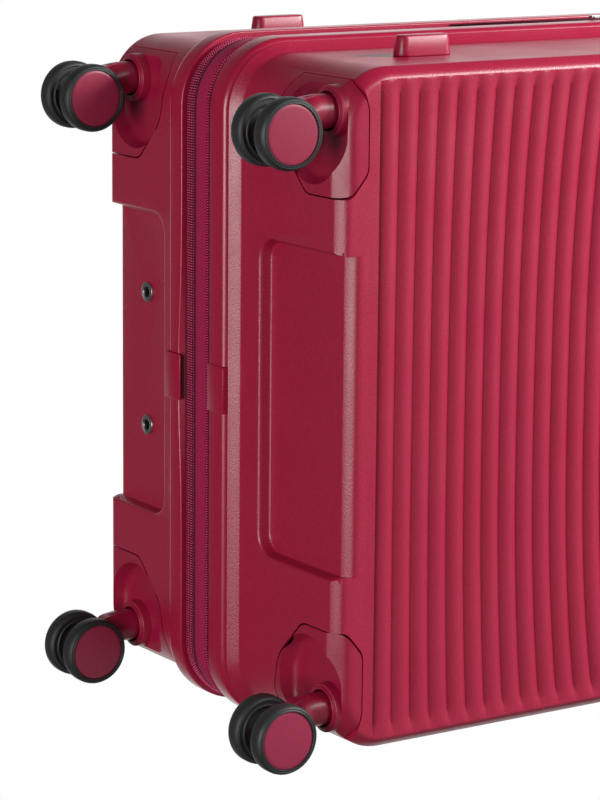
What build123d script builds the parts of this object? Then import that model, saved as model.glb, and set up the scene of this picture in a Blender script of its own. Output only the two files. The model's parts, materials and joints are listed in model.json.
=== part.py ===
"""Hard shell suitcase on four twin casters: expandable, with a two-stage trolley handle.

Millimetres. The case stands upright on its wheels: +Z is up, the floor is z = 0, the ribbed
front panel faces -Y, the trolley side faces +Y, the hinge side is -X and the lock side is +X.
The origin is on the floor, under the middle of the case.
"""
import os

from build123d import *

# ---- overall sizes -------------------------------------------------------------------
BODY_WIDTH = 482.0          # over the two side walls
BODY_HEIGHT = 678.0         # bottom wall to top wall
FLOOR_TO_BODY = 62.0        # floor to the bottom wall
CASE_DEPTH = 310.0          # front panel to back panel
CORNER_RADIUS = 42.0        # seen from the front
FRONT_EDGE_RADIUS = 10.0    # round edge between the front panel and the walls
BACK_EDGE_RADIUS = 4.0      # and round the flatter back panel
WALL = 2.0                  # moulded polycarbonate
FIT = 0.3                   # gap between neighbouring pieces that are not one body
SNUG = 0.1                  # gap between pieces that are fastened to each other

# ---- where the case parts -------------------------------------------------------------
MAIN_ZIP_Y = 28.5           # middle of the zip that opens the case
BACK_RIM_Y = 35.0           # front face of the back rim profile
FRONT_RIM_Y = -3.0          # back face of the front rim profile
RIM_DEPTH = 20.0            # along Y
RIM_PROUD = 10.0            # how far the rims stand out of the walls
RIM_LIP = 9.0               # depth of the lip that caps the edge of the shell
RIM_EDGE = 2.0
RIM_WALL = 3.0
JOINER_WIDTH = 34.0
JOINER_THICKNESS = 1.2
ZIP_PROUD = 7.0
ZIP_THICKNESS = 2.5
BAND_FRONT_Y = 7.0
BAND_BACK_Y = 21.0
BAND_PROUD = 6.5
BAND_THICKNESS = 2.0
ZIP_GAP = 0.4               # between the two halves of a zip
GUSSET_THICKNESS = 4.0
GUSSET_PROUD = 3.6
HINGE_TAPE_LENGTH = 380.0
HINGE_TAPE_FROM_TOP = 70.0  # upper end of the tape, below the top wall
HINGE_TAPE_THICKNESS = 0.8

# ---- casters ------------------------------------------------------------------------
WHEEL_DIAMETER = 50.0
WHEEL_WIDTH = 13.5
WHEEL_GAP = 15.0            # between the two wheels of a caster
WHEEL_EDGE = 2.5
CASTER_TRAIL = 12.0
STEM_FROM_SIDE = 30.0
STEM_FROM_PANEL = 23.0
STEM_RADIUS = 12.0
STEM_GAP = 1.5              # dark gap round the stem in its collar
STEM_DROP = 9.0             # the stem ends this far below the bottom wall
STEM_RISE = 9.0             # and its shoulder is this far above it
KING_PIN_RADIUS = 4.0
KING_PIN_LENGTH = 11.0
RUNNING_FIT = 0.05          # radial, for pins that turn in their bores
FORK_WEB = 10.0
FORK_BOSS_RADIUS = 9.0
AXLE_RADIUS = 3.0
AXLE_LENGTH = 36.0
CAP_RADIUS = 20.7
CAP_THICKNESS = 2.6
CAP_DOME = 0.8
HUB_DISH_RADIUS = 17.0
HUB_DISH_DEPTH = 3.0
HUB_BOSS_RADIUS = 7.0
HOUSING_WIDTH = 88.0        # in from the side wall
HOUSING_DEPTH = 80.0        # in from the panel
HOUSING_HEIGHT = 22.5       # up from the bottom wall
SCOOP_DEPTH = 9.0
SCOOP_LENGTH = 76.0
SCOOP_WIDTH = 66.0
SCOOP_SHIFT = (11.0, 14.0)  # from the stem towards the middle of the case
SCOOP_TAPER = 25.0
COLLAR_RADIUS = 17.5
COLLAR_SUNK = 3.5           # its rim is this far above the bottom wall

# ---- recesses in the bottom wall -------------------------------------------------------
RECESS_WIDTH = 226.0
RECESS_DEPTH = 9.0
FRONT_RECESS_REACH = 99.0   # from the front panel
BACK_RECESS_REACH = 76.0    # from the back panel
RECESS_CORNER = 14.0

# ---- feet on the hinge side -------------------------------------------------------------
FOOT_LENGTH = 46.0
FOOT_WIDTH = 16.0
FOOT_TAPER = 8.0
SIDE_PROUD = 15.0           # how far the feet and the side handle stand out of the side walls
FOOT_FROM_PANEL = 62.0
FOOT_FROM_END = 110.0       # foot centre to the bottom wall or the top wall

# ---- trolley handle -------------------------------------------------------------------
TROLLEY_X = 51.0            # tube centres
TROLLEY_FROM_PANEL = 24.0
OUTER_TUBE = (28.0, 17.0)
MIDDLE_TUBE = (24.0, 13.5)
TOP_TUBE = (20.0, 10.0)
TUBE_WALL = 1.2
TUBE_CORNER = 3.5
TUBE_FLOOR_GAP = 16.0       # from the bottom wall to the lower end of the outer tubes
TUBE_STEP = 8.0             # each tube starts this much higher than the one around it
BASE_LENGTH = 150.0
BASE_FROM_PANEL = 51.0
RIVET_FROM_PANEL = 41.0
RIVET_RADIUS = 5.2
RIVET_BORE = 4.2
RIVET_HEAD_RADIUS = 7.6
RIVET_HEAD = 1.4
BEZEL_LENGTH = 156.0
BEZEL_WIDTH = 38.0
BEZEL_WALL = 2.5
BEZEL_DEPTH = 24.0          # below the top wall
BEZEL_LIP = 3.0
BEZEL_FLANGE = 4.0
GRIP_LENGTH = 142.0
GRIP_WIDTH = 25.0
GRIP_PROUD = 14.0           # above the top wall
GRIP_CORNER = 9.0
BUTTON_LENGTH = 34.0
BUTTON_WIDTH = 13.0
BUTTON_HEIGHT = 9.0
BUTTON_PROUD = 2.0
BUTTON_TRAVEL = 3.0

# ---- carry handles ---------------------------------------------------------------------
HANDLE_LENGTH = 190.0
HANDLE_WIDTH = 26.0
HANDLE_THICKNESS = 8.5
TOP_HANDLE_RISE = 16.0      # top of the handle above the top wall
HANDLE_LIFT = 18.0
LEG_LENGTH = 16.0
LEG_WIDTH = 9.0
LEG_STOP = 3.0
LEG_INSET = 14.0
PLATE_LENGTH = 44.0
PLATE_WIDTH = 34.0
PLATE_THICKNESS = 3.0
TOP_HANDLE_FROM_PANEL = 75.0
SIDE_HANDLE_FROM_PANEL = 34.0

# ---- lock and zip pulls ------------------------------------------------------------------
LOCK_Y = (58.0, 92.0)
LOCK_LENGTH = 78.0
LOCK_PROUD = 13.6           # outer face of the lock, out of the side wall
DIAL_RADIUS = 7.0
DIAL_WIDTH = 5.0
DIAL_PITCH = 8.0
DIAL_PROUD = 1.2
DIAL_PIN_RADIUS = 1.5
LOCK_BUTTON = (11.0, 14.0)
LOCK_BUTTON_HEIGHT = 5.0
LOCK_BUTTON_TRAVEL = 1.5
KEYHOLE_RADIUS = 3.2
PULL_SPACING = 60.0         # between the two main zip pulls
PULL_LENGTH = 36.0
PULL_THICKNESS = 2.0
PULL_HOLE = (14.0, 4.4)
PULL_RIM = 2.6              # metal left round the end of the slot
MAIN_BAR_LENGTH = 12.0      # along the zip: the main pulls fold sideways into the lock
EXPANSION_BAR_LENGTH = 9.6  # across the zip: this pull lies along it
SLIDER_CHEEK = 1.2          # on each side of the pull's eye
SLIDER_WIDTH = 9.0
SLIDER_THICKNESS = 4.6
PULL_EYE_RADIUS = 1.5
PULL_PIN_RADIUS = 0.8
EXPANSION_PULL_LENGTH = 38.0
EXPANSION_SLIDER_Z = 437.0  # where the expansion zip's slider is parked

# ---- lining -----------------------------------------------------------------------------
LINING_THICKNESS = 1.2
LINING_SIDE_GAP = 6.0
LINING_HEM = 2.0            # the hem that is sewn in behind the rim
LINING_FLOOR_GAP = 30.0     # above the bottom wall
LINING_CEILING_GAP = 32.0   # below the top wall
BACK_LINING_FROM_PANEL = 43.0
FRONT_LINING_GAP = 2.0
STRAP_WIDTH = 30.0
STRAP_THICKNESS = 2.0
STRAP_Z = (250.0, 520.0)

# ---- worked out from the sizes above -----------------------------------------------------
HALF_WIDTH = BODY_WIDTH / 2
BODY_TOP = FLOOR_TO_BODY + BODY_HEIGHT
BODY_MIDDLE = FLOOR_TO_BODY + BODY_HEIGHT / 2
FRONT_Y = -CASE_DEPTH / 2
BACK_Y = CASE_DEPTH / 2
FRONT_EDGE_Y = FRONT_RIM_Y - RIM_LIP
BACK_EDGE_Y = BACK_RIM_Y + RIM_LIP
SIDE_REACH = HALF_WIDTH + SIDE_PROUD
LOCK_REACH = HALF_WIDTH + LOCK_PROUD
STEM_X = HALF_WIDTH - STEM_FROM_SIDE
STEM_Y = BACK_Y - STEM_FROM_PANEL
STEM_BOTTOM = FLOOR_TO_BODY - STEM_DROP
STEM_TOP = FLOOR_TO_BODY + STEM_RISE
KING_PIN_TOP = STEM_TOP + KING_PIN_LENGTH
FOOT_Y = BACK_Y - FOOT_FROM_PANEL
TROLLEY_Y = BACK_Y - TROLLEY_FROM_PANEL
BASE_FRONT_Y = BACK_Y - BASE_FROM_PANEL
RIVET_Y = BACK_Y - RIVET_FROM_PANEL
GRIP_TOP = BODY_TOP + GRIP_PROUD
TOP_HANDLE_Y = BACK_Y - TOP_HANDLE_FROM_PANEL
SIDE_HANDLE_Y = BACK_Y - SIDE_HANDLE_FROM_PANEL
LINING_FLOOR = FLOOR_TO_BODY + LINING_FLOOR_GAP
LINING_CEILING = BODY_TOP - LINING_CEILING_GAP
BACK_LINING_Y = BACK_Y - BACK_LINING_FROM_PANEL
WHEEL_RADIUS = WHEEL_DIAMETER / 2
WHEEL_INNER_Y = WHEEL_GAP / 2
WHEEL_OUTER_Y = WHEEL_INNER_Y + WHEEL_WIDTH


def outline(proud):
    """The case outline seen from the front, moved outwards by proud."""
    radius = CORNER_RADIUS + proud
    return RectangleRounded(BODY_WIDTH + 2 * proud, BODY_HEIGHT + 2 * proud, radius)


def slab(face, y_low, y_high):
    """A face drawn in X and Z about the middle of the case, made solid from y_low to y_high."""
    plane = Plane.XZ.offset(-y_high)
    return extrude(plane * Pos(0, BODY_MIDDLE) * face, amount=y_high - y_low)


def ring(proud, thickness, y_low, y_high):
    """A band that follows the case outline, with its outer face standing out by proud."""
    return slab(outline(proud), y_low, y_high) - slab(outline(proud - thickness), y_low - 1, y_high + 1)


def box(x_range, y_range, z_range):
    """A box from its lowest and highest corner values."""
    size = [high - low for low, high in (x_range, y_range, z_range)]
    middle = [(high + low) / 2 for low, high in (x_range, y_range, z_range)]
    return Pos(*middle) * Box(*size)


def upright(radius, z_low, z_high, x=0.0, y=0.0):
    """A vertical cylinder."""
    return Pos(x, y, (z_low + z_high) / 2) * Cylinder(radius, z_high - z_low)


def across(radius, y_low, y_high, x=0.0, z=0.0):
    """A cylinder along Y."""
    return Pos(x, (y_low + y_high) / 2, z) * Rot(90, 0, 0) * Cylinder(radius, y_high - y_low)


def shell_block(inset, panel_y, edge_y, edge_radius):
    """The solid volume of one half of the case, taken in by inset."""
    low, high = sorted((panel_y, edge_y))
    block = slab(outline(-inset), low, high)
    panel = block.faces().sort_by(Axis.Y)[0 if panel_y < edge_y else -1]
    return fillet(panel.edges(), edge_radius - inset)


def bottom_recess(panel_y, reach, grow):
    """The shallow trough in the bottom wall, grown by grow to leave a wall above it."""
    inner_y = panel_y + reach if panel_y < 0 else panel_y - reach
    outer_y = panel_y - 20 if panel_y < 0 else panel_y + 20
    middle_y = (inner_y + outer_y) / 2
    sketch = RectangleRounded(RECESS_WIDTH + 2 * grow, abs(inner_y - outer_y) + 2 * grow, RECESS_CORNER)
    height = RECESS_DEPTH + grow + 20
    return Pos(0, middle_y, FLOOR_TO_BODY + RECESS_DEPTH + grow - height) * extrude(sketch, amount=height)


def corner_region(grow=0.0):
    """The space of the caster housing in the front left corner, bounded in plan, ahead and beside."""
    left = -HALF_WIDTH - 10
    front = FRONT_Y - 10
    right = -HALF_WIDTH + HOUSING_WIDTH + grow
    back = FRONT_Y + HOUSING_DEPTH + grow
    top = FLOOR_TO_BODY + HOUSING_HEIGHT + grow
    bottom = FLOOR_TO_BODY - 20
    plan = make_face(Polyline(
        (left, front), (right, front), (right, back - 38), (right - 30, back - 8),
        (right - 64, back), (-HALF_WIDTH + 5, back - 12), (left, back - 18), close=True))
    ahead = make_face(Polyline(
        (left, bottom), (right, bottom), (right, top - 14), (right - 17, top),
        (-HALF_WIDTH + 28, top), (-HALF_WIDTH + 4, top - 7.5), (left, top - 7.5), close=True))
    beside = make_face(Polyline(
        (front, bottom), (back, bottom), (back, top - 16), (back - 22, top - 7), (back - 30, top), (front, top),
        close=True))
    plan = fillet(plan.vertices().group_by(Axis.X)[-1].sort_by(Axis.Y)[-1:], 12)
    prism = extrude(Plane.XY.offset(bottom) * plan, amount=top - bottom)
    prism &= extrude(Plane.XZ.offset(-back) * ahead, amount=back - front)
    return prism & extrude(Plane.YZ.offset(left) * beside, amount=right - left)


def to_corner(solid, side, panel):
    """Moves a piece of the front left corner to another: side -1 left, 1 right; panel -1 front, 1 back."""
    if side > 0 and panel > 0:
        return Rot(0, 0, 180) * solid
    if side > 0:
        return mirror(solid, about=Plane.YZ)
    if panel > 0:
        return mirror(solid, about=Plane.XZ)
    return solid


CORNERS = {
    "front_left": (-1, -1),
    "front_right": (1, -1),
    "back_left": (-1, 1),
    "back_right": (1, 1),
}


def side_wall_holes(y, reach):
    """The four-sided holes that the legs of the side handle pass through."""
    return [
        box((HALF_WIDTH - reach, HALF_WIDTH + 20), (y - LEG_WIDTH / 2 - FIT, y + LEG_WIDTH / 2 + FIT), (low, high))
        for low, high in leg_spans(BODY_MIDDLE, FIT)
    ]


def leg_spans(middle, grow):
    """Where the two legs of a carry handle lie along its length."""
    reach = HANDLE_LENGTH / 2 - LEG_INSET
    return [
        (middle + sign * reach - LEG_LENGTH / 2 - grow, middle + sign * reach + LEG_LENGTH / 2 + grow)
        for sign in (-1, 1)
    ]


def top_wall_holes(y):
    """The holes in the top wall for the legs of the top handle."""
    return [
        box((low, high), (y - LEG_WIDTH / 2 - FIT, y + LEG_WIDTH / 2 + FIT), (BODY_TOP - 20, BODY_TOP + 20))
        for low, high in leg_spans(0, FIT)
    ]


def half_shell(panel_y, edge_y, edge_radius, reach):
    """One moulded half: a tray with a shallow trough in its bottom wall and its corners cut out."""
    outside = shell_block(0, panel_y, edge_y, edge_radius) - bottom_recess(panel_y, reach, 0)
    beyond = edge_y + 5 if edge_y > panel_y else edge_y - 5
    inner_panel = panel_y + WALL if edge_y > panel_y else panel_y - WALL
    inside = shell_block(WALL, inner_panel, beyond, edge_radius) - bottom_recess(panel_y, reach, WALL)
    shell = outside - inside
    panel = -1 if panel_y < 0 else 1
    for side in (-1, 1):
        shell -= to_corner(corner_region(SNUG), side, panel)
    return shell


def front_shell():
    return half_shell(FRONT_Y, FRONT_EDGE_Y, FRONT_EDGE_RADIUS, FRONT_RECESS_REACH)


def back_shell():
    shell = half_shell(BACK_Y, BACK_EDGE_Y, BACK_EDGE_RADIUS, BACK_RECESS_REACH)
    for hole in side_wall_holes(SIDE_HANDLE_Y, 20) + top_wall_holes(TOP_HANDLE_Y):
        shell -= hole
    bezel_hole = RectangleRounded(BEZEL_LENGTH + 2 * SNUG, BEZEL_WIDTH + 2 * SNUG, GRIP_CORNER + BEZEL_WALL)
    shell -= Pos(0, TROLLEY_Y, BODY_TOP - 20) * extrude(bezel_hole, amount=40)
    for side in (-1, 1):
        shell -= upright(RIVET_RADIUS + SNUG, FLOOR_TO_BODY, FLOOR_TO_BODY + 20, side * TROLLEY_X, RIVET_Y)
    return shell


def rim(y_low, lip_low):
    """A rim profile: an outer channel round the shell's wall and a lip over the shell's edge."""
    channel = ring(RIM_PROUD, RIM_PROUD - SNUG, y_low, y_low + RIM_DEPTH)
    outer_edges = [edge for edge in channel.edges() if is_on_outline(edge, RIM_PROUD)]
    channel = fillet(outer_edges, RIM_EDGE)
    hollow = ring(RIM_PROUD - RIM_WALL, RIM_PROUD, y_low + RIM_WALL, y_low + RIM_DEPTH - RIM_WALL)
    lip = ring(SNUG, SNUG + WALL + 0.5, lip_low, lip_low + RIM_LIP - SNUG)
    return channel - hollow + lip


def is_on_outline(edge, proud):
    """True for an edge that lies on the case outline moved out by proud."""
    middle = edge.position_at(0.5)
    straight_x = abs(abs(middle.X) - HALF_WIDTH - proud) < 0.01
    straight_z = abs(abs(middle.Z - BODY_MIDDLE) - BODY_HEIGHT / 2 - proud) < 0.01
    corner_x = abs(middle.X) - (HALF_WIDTH - CORNER_RADIUS)
    corner_z = abs(middle.Z - BODY_MIDDLE) - (BODY_HEIGHT / 2 - CORNER_RADIUS)
    in_corner = corner_x > 0 and corner_z > 0
    on_corner = in_corner and abs((corner_x ** 2 + corner_z ** 2) ** 0.5 - CORNER_RADIUS - proud) < 0.01
    return straight_x or straight_z or on_corner


def joiner(y_low, shell_side):
    """The clip that covers the butt joint of a rim profile, under the bottom wall."""
    half = JOINER_WIDTH / 2
    low_z = FLOOR_TO_BODY - RIM_PROUD - JOINER_THICKNESS - SNUG
    y_high = y_low + RIM_DEPTH
    turned_in = JOINER_THICKNESS + SNUG
    y_range = (y_low, y_high + turned_in) if shell_side > 0 else (y_low - turned_in, y_high)
    clip = box((-half, half), y_range, (low_z, FLOOR_TO_BODY - 4))
    channel = box((-half - 1, half + 1), (y_low - SNUG, y_low + RIM_DEPTH + SNUG),
                  (FLOOR_TO_BODY - RIM_PROUD - SNUG, FLOOR_TO_BODY))
    return clip - channel


def zip_band():
    """The woven band between the two zips, with the zip half sewn along each edge."""
    band = ring(BAND_PROUD, BAND_THICKNESS, BAND_FRONT_Y, BAND_BACK_Y)
    main_half = ring(ZIP_PROUD, ZIP_THICKNESS, BAND_BACK_Y, MAIN_ZIP_Y - ZIP_GAP / 2)
    expansion_half = ring(ZIP_PROUD, ZIP_THICKNESS, expansion_zip_y() + ZIP_GAP / 2, BAND_FRONT_Y)
    return Compound(children=[band, main_half, expansion_half])


def expansion_zip_y():
    """The middle of the expansion zip."""
    return (FRONT_RIM_Y + BAND_FRONT_Y) / 2


def slider(bar_length):
    """A zip slider on z = 0 with its pull bar along Y; the pull lies along +X."""
    body = box((-SLIDER_WIDTH / 2, SLIDER_WIDTH / 2), (-bar_length / 2, bar_length / 2), (0, SLIDER_THICKNESS))
    ears = box((-1.6, 1.6), (-bar_length / 2, bar_length / 2), (0, SLIDER_THICKNESS + 1))
    half = bar_length / 2 - SLIDER_CHEEK
    mouth = box((-SLIDER_WIDTH, SLIDER_WIDTH), (-half, half),
                (SLIDER_THICKNESS - PULL_EYE_RADIUS - FIT, SLIDER_THICKNESS + 5))
    bar = Pos(0, 0, SLIDER_THICKNESS) * Rot(90, 0, 0) * Cylinder(PULL_PIN_RADIUS, bar_length)
    return body + ears - mouth + bar


def pull(bar_length, length):
    """A zip pull in its slider's frame: an eye round the bar and a tab with a slot, along +X."""
    half_width = bar_length / 2 - SLIDER_CHEEK - FIT
    half = PULL_THICKNESS / 2
    eye = Rot(90, 0, 0) * Cylinder(PULL_EYE_RADIUS, 2 * half_width)
    tab = box((0, length), (-half_width, half_width), (-half, half))
    tab = fillet(tab.edges().filter_by(Axis.Z).sort_by(Axis.X)[-2:], half_width - 1)
    slot_high = length - PULL_RIM
    slot = box((slot_high - PULL_HOLE[0], slot_high), (-PULL_HOLE[1] / 2, PULL_HOLE[1] / 2), (-5, 5))
    bore = Rot(90, 0, 0) * Cylinder(PULL_PIN_RADIUS + RUNNING_FIT, 2 * bar_length)
    return Pos(0, 0, SLIDER_THICKNESS) * (eye + tab - slot - bore)


def main_slider_frame(sign):
    """Where a main zip slider sits: on the lock side, its pull pointing into the lock."""
    origin = (HALF_WIDTH + ZIP_PROUD + FIT, MAIN_ZIP_Y, BODY_MIDDLE + sign * PULL_SPACING / 2)
    return Location(Plane(origin=origin, x_dir=(0, 1, 0), z_dir=(1, 0, 0)))


def expansion_slider_frame():
    """Where the expansion zip's slider is parked: on the hinge side, its pull hanging down."""
    origin = (-(HALF_WIDTH + ZIP_PROUD + FIT), expansion_zip_y(), EXPANSION_SLIDER_Z)
    return Location(Plane(origin=origin, x_dir=(0, 0, -1), z_dir=(-1, 0, 0)))


def corner_housing(side, panel):
    """The moulded corner that holds a caster: a scooped underside with a collar round the stem."""
    edge_radius = FRONT_EDGE_RADIUS if panel < 0 else BACK_EDGE_RADIUS
    outside = shell_block(0, FRONT_Y, FRONT_EDGE_Y, edge_radius)
    block = outside & corner_region()
    scoop_sketch = SlotOverall(SCOOP_LENGTH, SCOOP_WIDTH)
    scoop_x, scoop_y = -STEM_X + SCOOP_SHIFT[0], -STEM_Y + SCOOP_SHIFT[1]
    scoop = extrude(Plane.XY.offset(FLOOR_TO_BODY - 1) * Pos(scoop_x, scoop_y) * scoop_sketch,
                    amount=SCOOP_DEPTH + 1, taper=SCOOP_TAPER)
    collar = upright(COLLAR_RADIUS, FLOOR_TO_BODY + COLLAR_SUNK, FLOOR_TO_BODY + SCOOP_DEPTH + 2, -STEM_X, -STEM_Y)
    throat = upright(STEM_RADIUS + STEM_GAP, FLOOR_TO_BODY - 5, STEM_TOP + FIT, -STEM_X, -STEM_Y)
    bore = upright(KING_PIN_RADIUS + RUNNING_FIT, STEM_TOP, KING_PIN_TOP + FIT, -STEM_X, -STEM_Y)
    return to_corner(block - scoop + collar - throat - bore, side, panel)


def caster_frame(side, panel):
    """Where a caster's stem meets the floor plane."""
    return Pos(side * STEM_X, panel * STEM_Y, 0)


def fork():
    """The caster's fork: a round stem with its king pin, and a thin web down to the axle boss."""
    stem = upright(STEM_RADIUS, STEM_BOTTOM, STEM_TOP)
    king_pin = upright(KING_PIN_RADIUS, STEM_TOP - 1, KING_PIN_TOP)
    web_face = make_hull([
        *(Pos(CASTER_TRAIL, WHEEL_RADIUS) * Circle(FORK_BOSS_RADIUS)).edges(),
        *(Pos(0, STEM_BOTTOM + 2) * Rectangle(2 * STEM_RADIUS - 2, 4)).edges(),
    ])
    web = extrude(Plane.XZ.offset(-FORK_WEB / 2) * web_face, amount=FORK_WEB)
    boss = across(FORK_BOSS_RADIUS - 2, -WHEEL_INNER_Y + FIT, WHEEL_INNER_Y - FIT, CASTER_TRAIL, WHEEL_RADIUS)
    bore = across(AXLE_RADIUS, -WHEEL_GAP, WHEEL_GAP, CASTER_TRAIL, WHEEL_RADIUS)
    body = stem + king_pin + web + boss - bore
    axle = across(AXLE_RADIUS, -AXLE_LENGTH / 2, AXLE_LENGTH / 2, CASTER_TRAIL, WHEEL_RADIUS)
    return Compound(children=[body, axle])


def wheel():
    """A wheel on the front side of the fork: tyre and core moulded as one, dished inside."""
    disc = across(WHEEL_RADIUS, -WHEEL_OUTER_Y, -WHEEL_INNER_Y)
    disc = fillet(disc.edges(), WHEEL_EDGE)
    disc -= across(CAP_RADIUS + SNUG, -WHEEL_OUTER_Y - 1, -WHEEL_OUTER_Y + CAP_THICKNESS)
    dish = across(HUB_DISH_RADIUS, -WHEEL_INNER_Y - HUB_DISH_DEPTH, -WHEEL_INNER_Y + 1)
    dish -= across(HUB_BOSS_RADIUS, -WHEEL_INNER_Y - HUB_DISH_DEPTH, -WHEEL_INNER_Y + 1)
    bore = across(AXLE_RADIUS + RUNNING_FIT, -AXLE_LENGTH / 2 - FIT, -WHEEL_INNER_Y + 1)
    return Pos(CASTER_TRAIL, 0, WHEEL_RADIUS) * (disc - dish - bore)


def wheel_cap():
    """The snap-in cap on the outer face of a wheel, slightly domed."""
    rim_y = -WHEEL_OUTER_Y + CAP_DOME
    disc = across(CAP_RADIUS, rim_y, -WHEEL_OUTER_Y + CAP_THICKNESS)
    dome_radius = (CAP_RADIUS ** 2 + CAP_DOME ** 2) / (2 * CAP_DOME)
    dome = Pos(0, -WHEEL_OUTER_Y + dome_radius, 0) * Sphere(dome_radius)
    cover = across(CAP_RADIUS, -WHEEL_OUTER_Y - 1, rim_y) & dome
    return Pos(CASTER_TRAIL, 0, WHEEL_RADIUS) * (disc + cover)


def feet(panel):
    """The two tapered feet that one half rests on when the case lies on its hinge side."""
    solids = []
    base = RectangleRounded(FOOT_LENGTH, FOOT_WIDTH, FOOT_WIDTH / 2 - 0.5)
    for z in (FLOOR_TO_BODY + FOOT_FROM_END, BODY_TOP - FOOT_FROM_END):
        plane = Plane(origin=(-HALF_WIDTH, panel * FOOT_Y, z), x_dir=(0, 0, 1), z_dir=(-1, 0, 0))
        solids.append(extrude(plane * base, amount=SIDE_REACH - HALF_WIDTH, taper=FOOT_TAPER))
    return Compound(children=solids)


def tube(size, z_low, z_high, x):
    """One rectangular trolley tube."""
    outer = RectangleRounded(*size, TUBE_CORNER)
    inner = RectangleRounded(size[0] - 2 * TUBE_WALL, size[1] - 2 * TUBE_WALL, TUBE_CORNER - TUBE_WALL)
    return Pos(x, TROLLEY_Y, z_low) * extrude(outer - inner, amount=z_high - z_low)


def tube_pair(size, z_low, z_high):
    return [tube(size, z_low, z_high, side * TROLLEY_X) for side in (-1, 1)]


TUBE_LOW = FLOOR_TO_BODY + TUBE_FLOOR_GAP
BEZEL_FLOOR = BODY_TOP - BEZEL_DEPTH


def trolley_frame():
    """The fixed outer tubes and the bracket that holds their lower ends on the bottom wall."""
    floor = FLOOR_TO_BODY + RECESS_DEPTH + WALL
    bracket = box((-BASE_LENGTH / 2, BASE_LENGTH / 2), (BASE_FRONT_Y, BACK_Y - WALL - 8), (floor + SNUG, TUBE_LOW))
    for side in (-1, 1):
        bracket -= upright(RIVET_RADIUS + SNUG, floor, TUBE_LOW + 1, side * TROLLEY_X, RIVET_Y)
    return Compound(children=[bracket, *tube_pair(OUTER_TUBE, TUBE_LOW, BEZEL_FLOOR - SNUG)])


def trolley_rivets():
    """Two hollow rivets through the bottom wall and the trolley bracket."""
    wall_low = FLOOR_TO_BODY + RECESS_DEPTH
    rivets = []
    for side in (-1, 1):
        x = side * TROLLEY_X
        shank = upright(RIVET_RADIUS, wall_low, TUBE_LOW, x, RIVET_Y)
        head = upright(RIVET_HEAD_RADIUS, wall_low - RIVET_HEAD, wall_low, x, RIVET_Y)
        tail = upright(RIVET_HEAD_RADIUS, TUBE_LOW, TUBE_LOW + RIVET_HEAD, x, RIVET_Y)
        bore = upright(RIVET_BORE, wall_low - 5, TUBE_LOW + 5, x, RIVET_Y)
        rivets.append(shank + head + tail - bore)
    return Compound(children=rivets)


def trolley_bezel():
    """The cup in the top wall that the folded grip sits in."""
    outer = RectangleRounded(BEZEL_LENGTH, BEZEL_WIDTH, GRIP_CORNER + BEZEL_WALL)
    flange = RectangleRounded(BEZEL_LENGTH + 2 * BEZEL_FLANGE, BEZEL_WIDTH + 2 * BEZEL_FLANGE,
                              GRIP_CORNER + BEZEL_WALL + BEZEL_FLANGE)
    inner = RectangleRounded(BEZEL_LENGTH - 2 * BEZEL_WALL, BEZEL_WIDTH - 2 * BEZEL_WALL, GRIP_CORNER)
    cup = Pos(0, TROLLEY_Y, BEZEL_FLOOR) * extrude(outer, amount=BEZEL_DEPTH + BEZEL_LIP)
    lip = Pos(0, TROLLEY_Y, BODY_TOP + SNUG) * extrude(flange, amount=BEZEL_LIP - SNUG)
    pocket = Pos(0, TROLLEY_Y, BEZEL_FLOOR + BEZEL_WALL) * extrude(inner, amount=BEZEL_DEPTH + 10)
    bezel = cup + lip - pocket
    passage = RectangleRounded(MIDDLE_TUBE[0] + 2 * FIT, MIDDLE_TUBE[1] + 2 * FIT, TUBE_CORNER)
    for side in (-1, 1):
        bezel -= Pos(side * TROLLEY_X, TROLLEY_Y, BEZEL_FLOOR - 1) * extrude(passage, amount=10)
    return bezel


GRIP_BOTTOM = BEZEL_FLOOR + BEZEL_WALL + 1.0


def middle_tubes():
    return Compound(children=tube_pair(MIDDLE_TUBE, TUBE_LOW + TUBE_STEP, GRIP_BOTTOM - FIT))


def top_tubes():
    return Compound(children=tube_pair(TOP_TUBE, TUBE_LOW + 2 * TUBE_STEP, GRIP_BOTTOM))


def button_sketch(grow):
    return RectangleRounded(BUTTON_LENGTH + 2 * grow, BUTTON_WIDTH + 2 * grow, BUTTON_WIDTH / 2 - 1)


def trolley_grip():
    """The hand grip across the top tubes, with a pocket for the release button."""
    sketch = RectangleRounded(GRIP_LENGTH, GRIP_WIDTH, GRIP_CORNER)
    grip = Pos(0, TROLLEY_Y, GRIP_BOTTOM) * extrude(sketch, amount=GRIP_TOP - GRIP_BOTTOM)
    grip = fillet(grip.faces().sort_by(Axis.Z)[-1].edges(), 4)
    pocket_low = GRIP_TOP - BUTTON_HEIGHT - BUTTON_TRAVEL
    pocket = Pos(0, TROLLEY_Y, pocket_low) * extrude(button_sketch(FIT), amount=GRIP_TOP - pocket_low + 1)
    finger_hollow = box((-TROLLEY_X + 18, TROLLEY_X - 18), (TROLLEY_Y - GRIP_WIDTH, TROLLEY_Y + GRIP_WIDTH),
                        (GRIP_BOTTOM - 1, pocket_low - 3))
    return grip - pocket - finger_hollow


def trolley_button():
    """The push button that frees the trolley tubes."""
    low = GRIP_TOP + BUTTON_PROUD - BUTTON_HEIGHT
    button = Pos(0, TROLLEY_Y, low) * extrude(button_sketch(0), amount=BUTTON_HEIGHT)
    return fillet(button.faces().sort_by(Axis.Z)[-1].edges(), 1.5)


def handle_plate():
    """A mounting plate with the hole for a handle's leg, flat on z = 0 and centred on the hole."""
    plate = extrude(RectangleRounded(PLATE_LENGTH, PLATE_WIDTH, 6), amount=PLATE_THICKNESS)
    hole = box((-LEG_LENGTH / 2 - FIT, LEG_LENGTH / 2 + FIT), (-LEG_WIDTH / 2 - FIT, LEG_WIDTH / 2 + FIT), (-1, 10))
    return plate - hole


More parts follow.
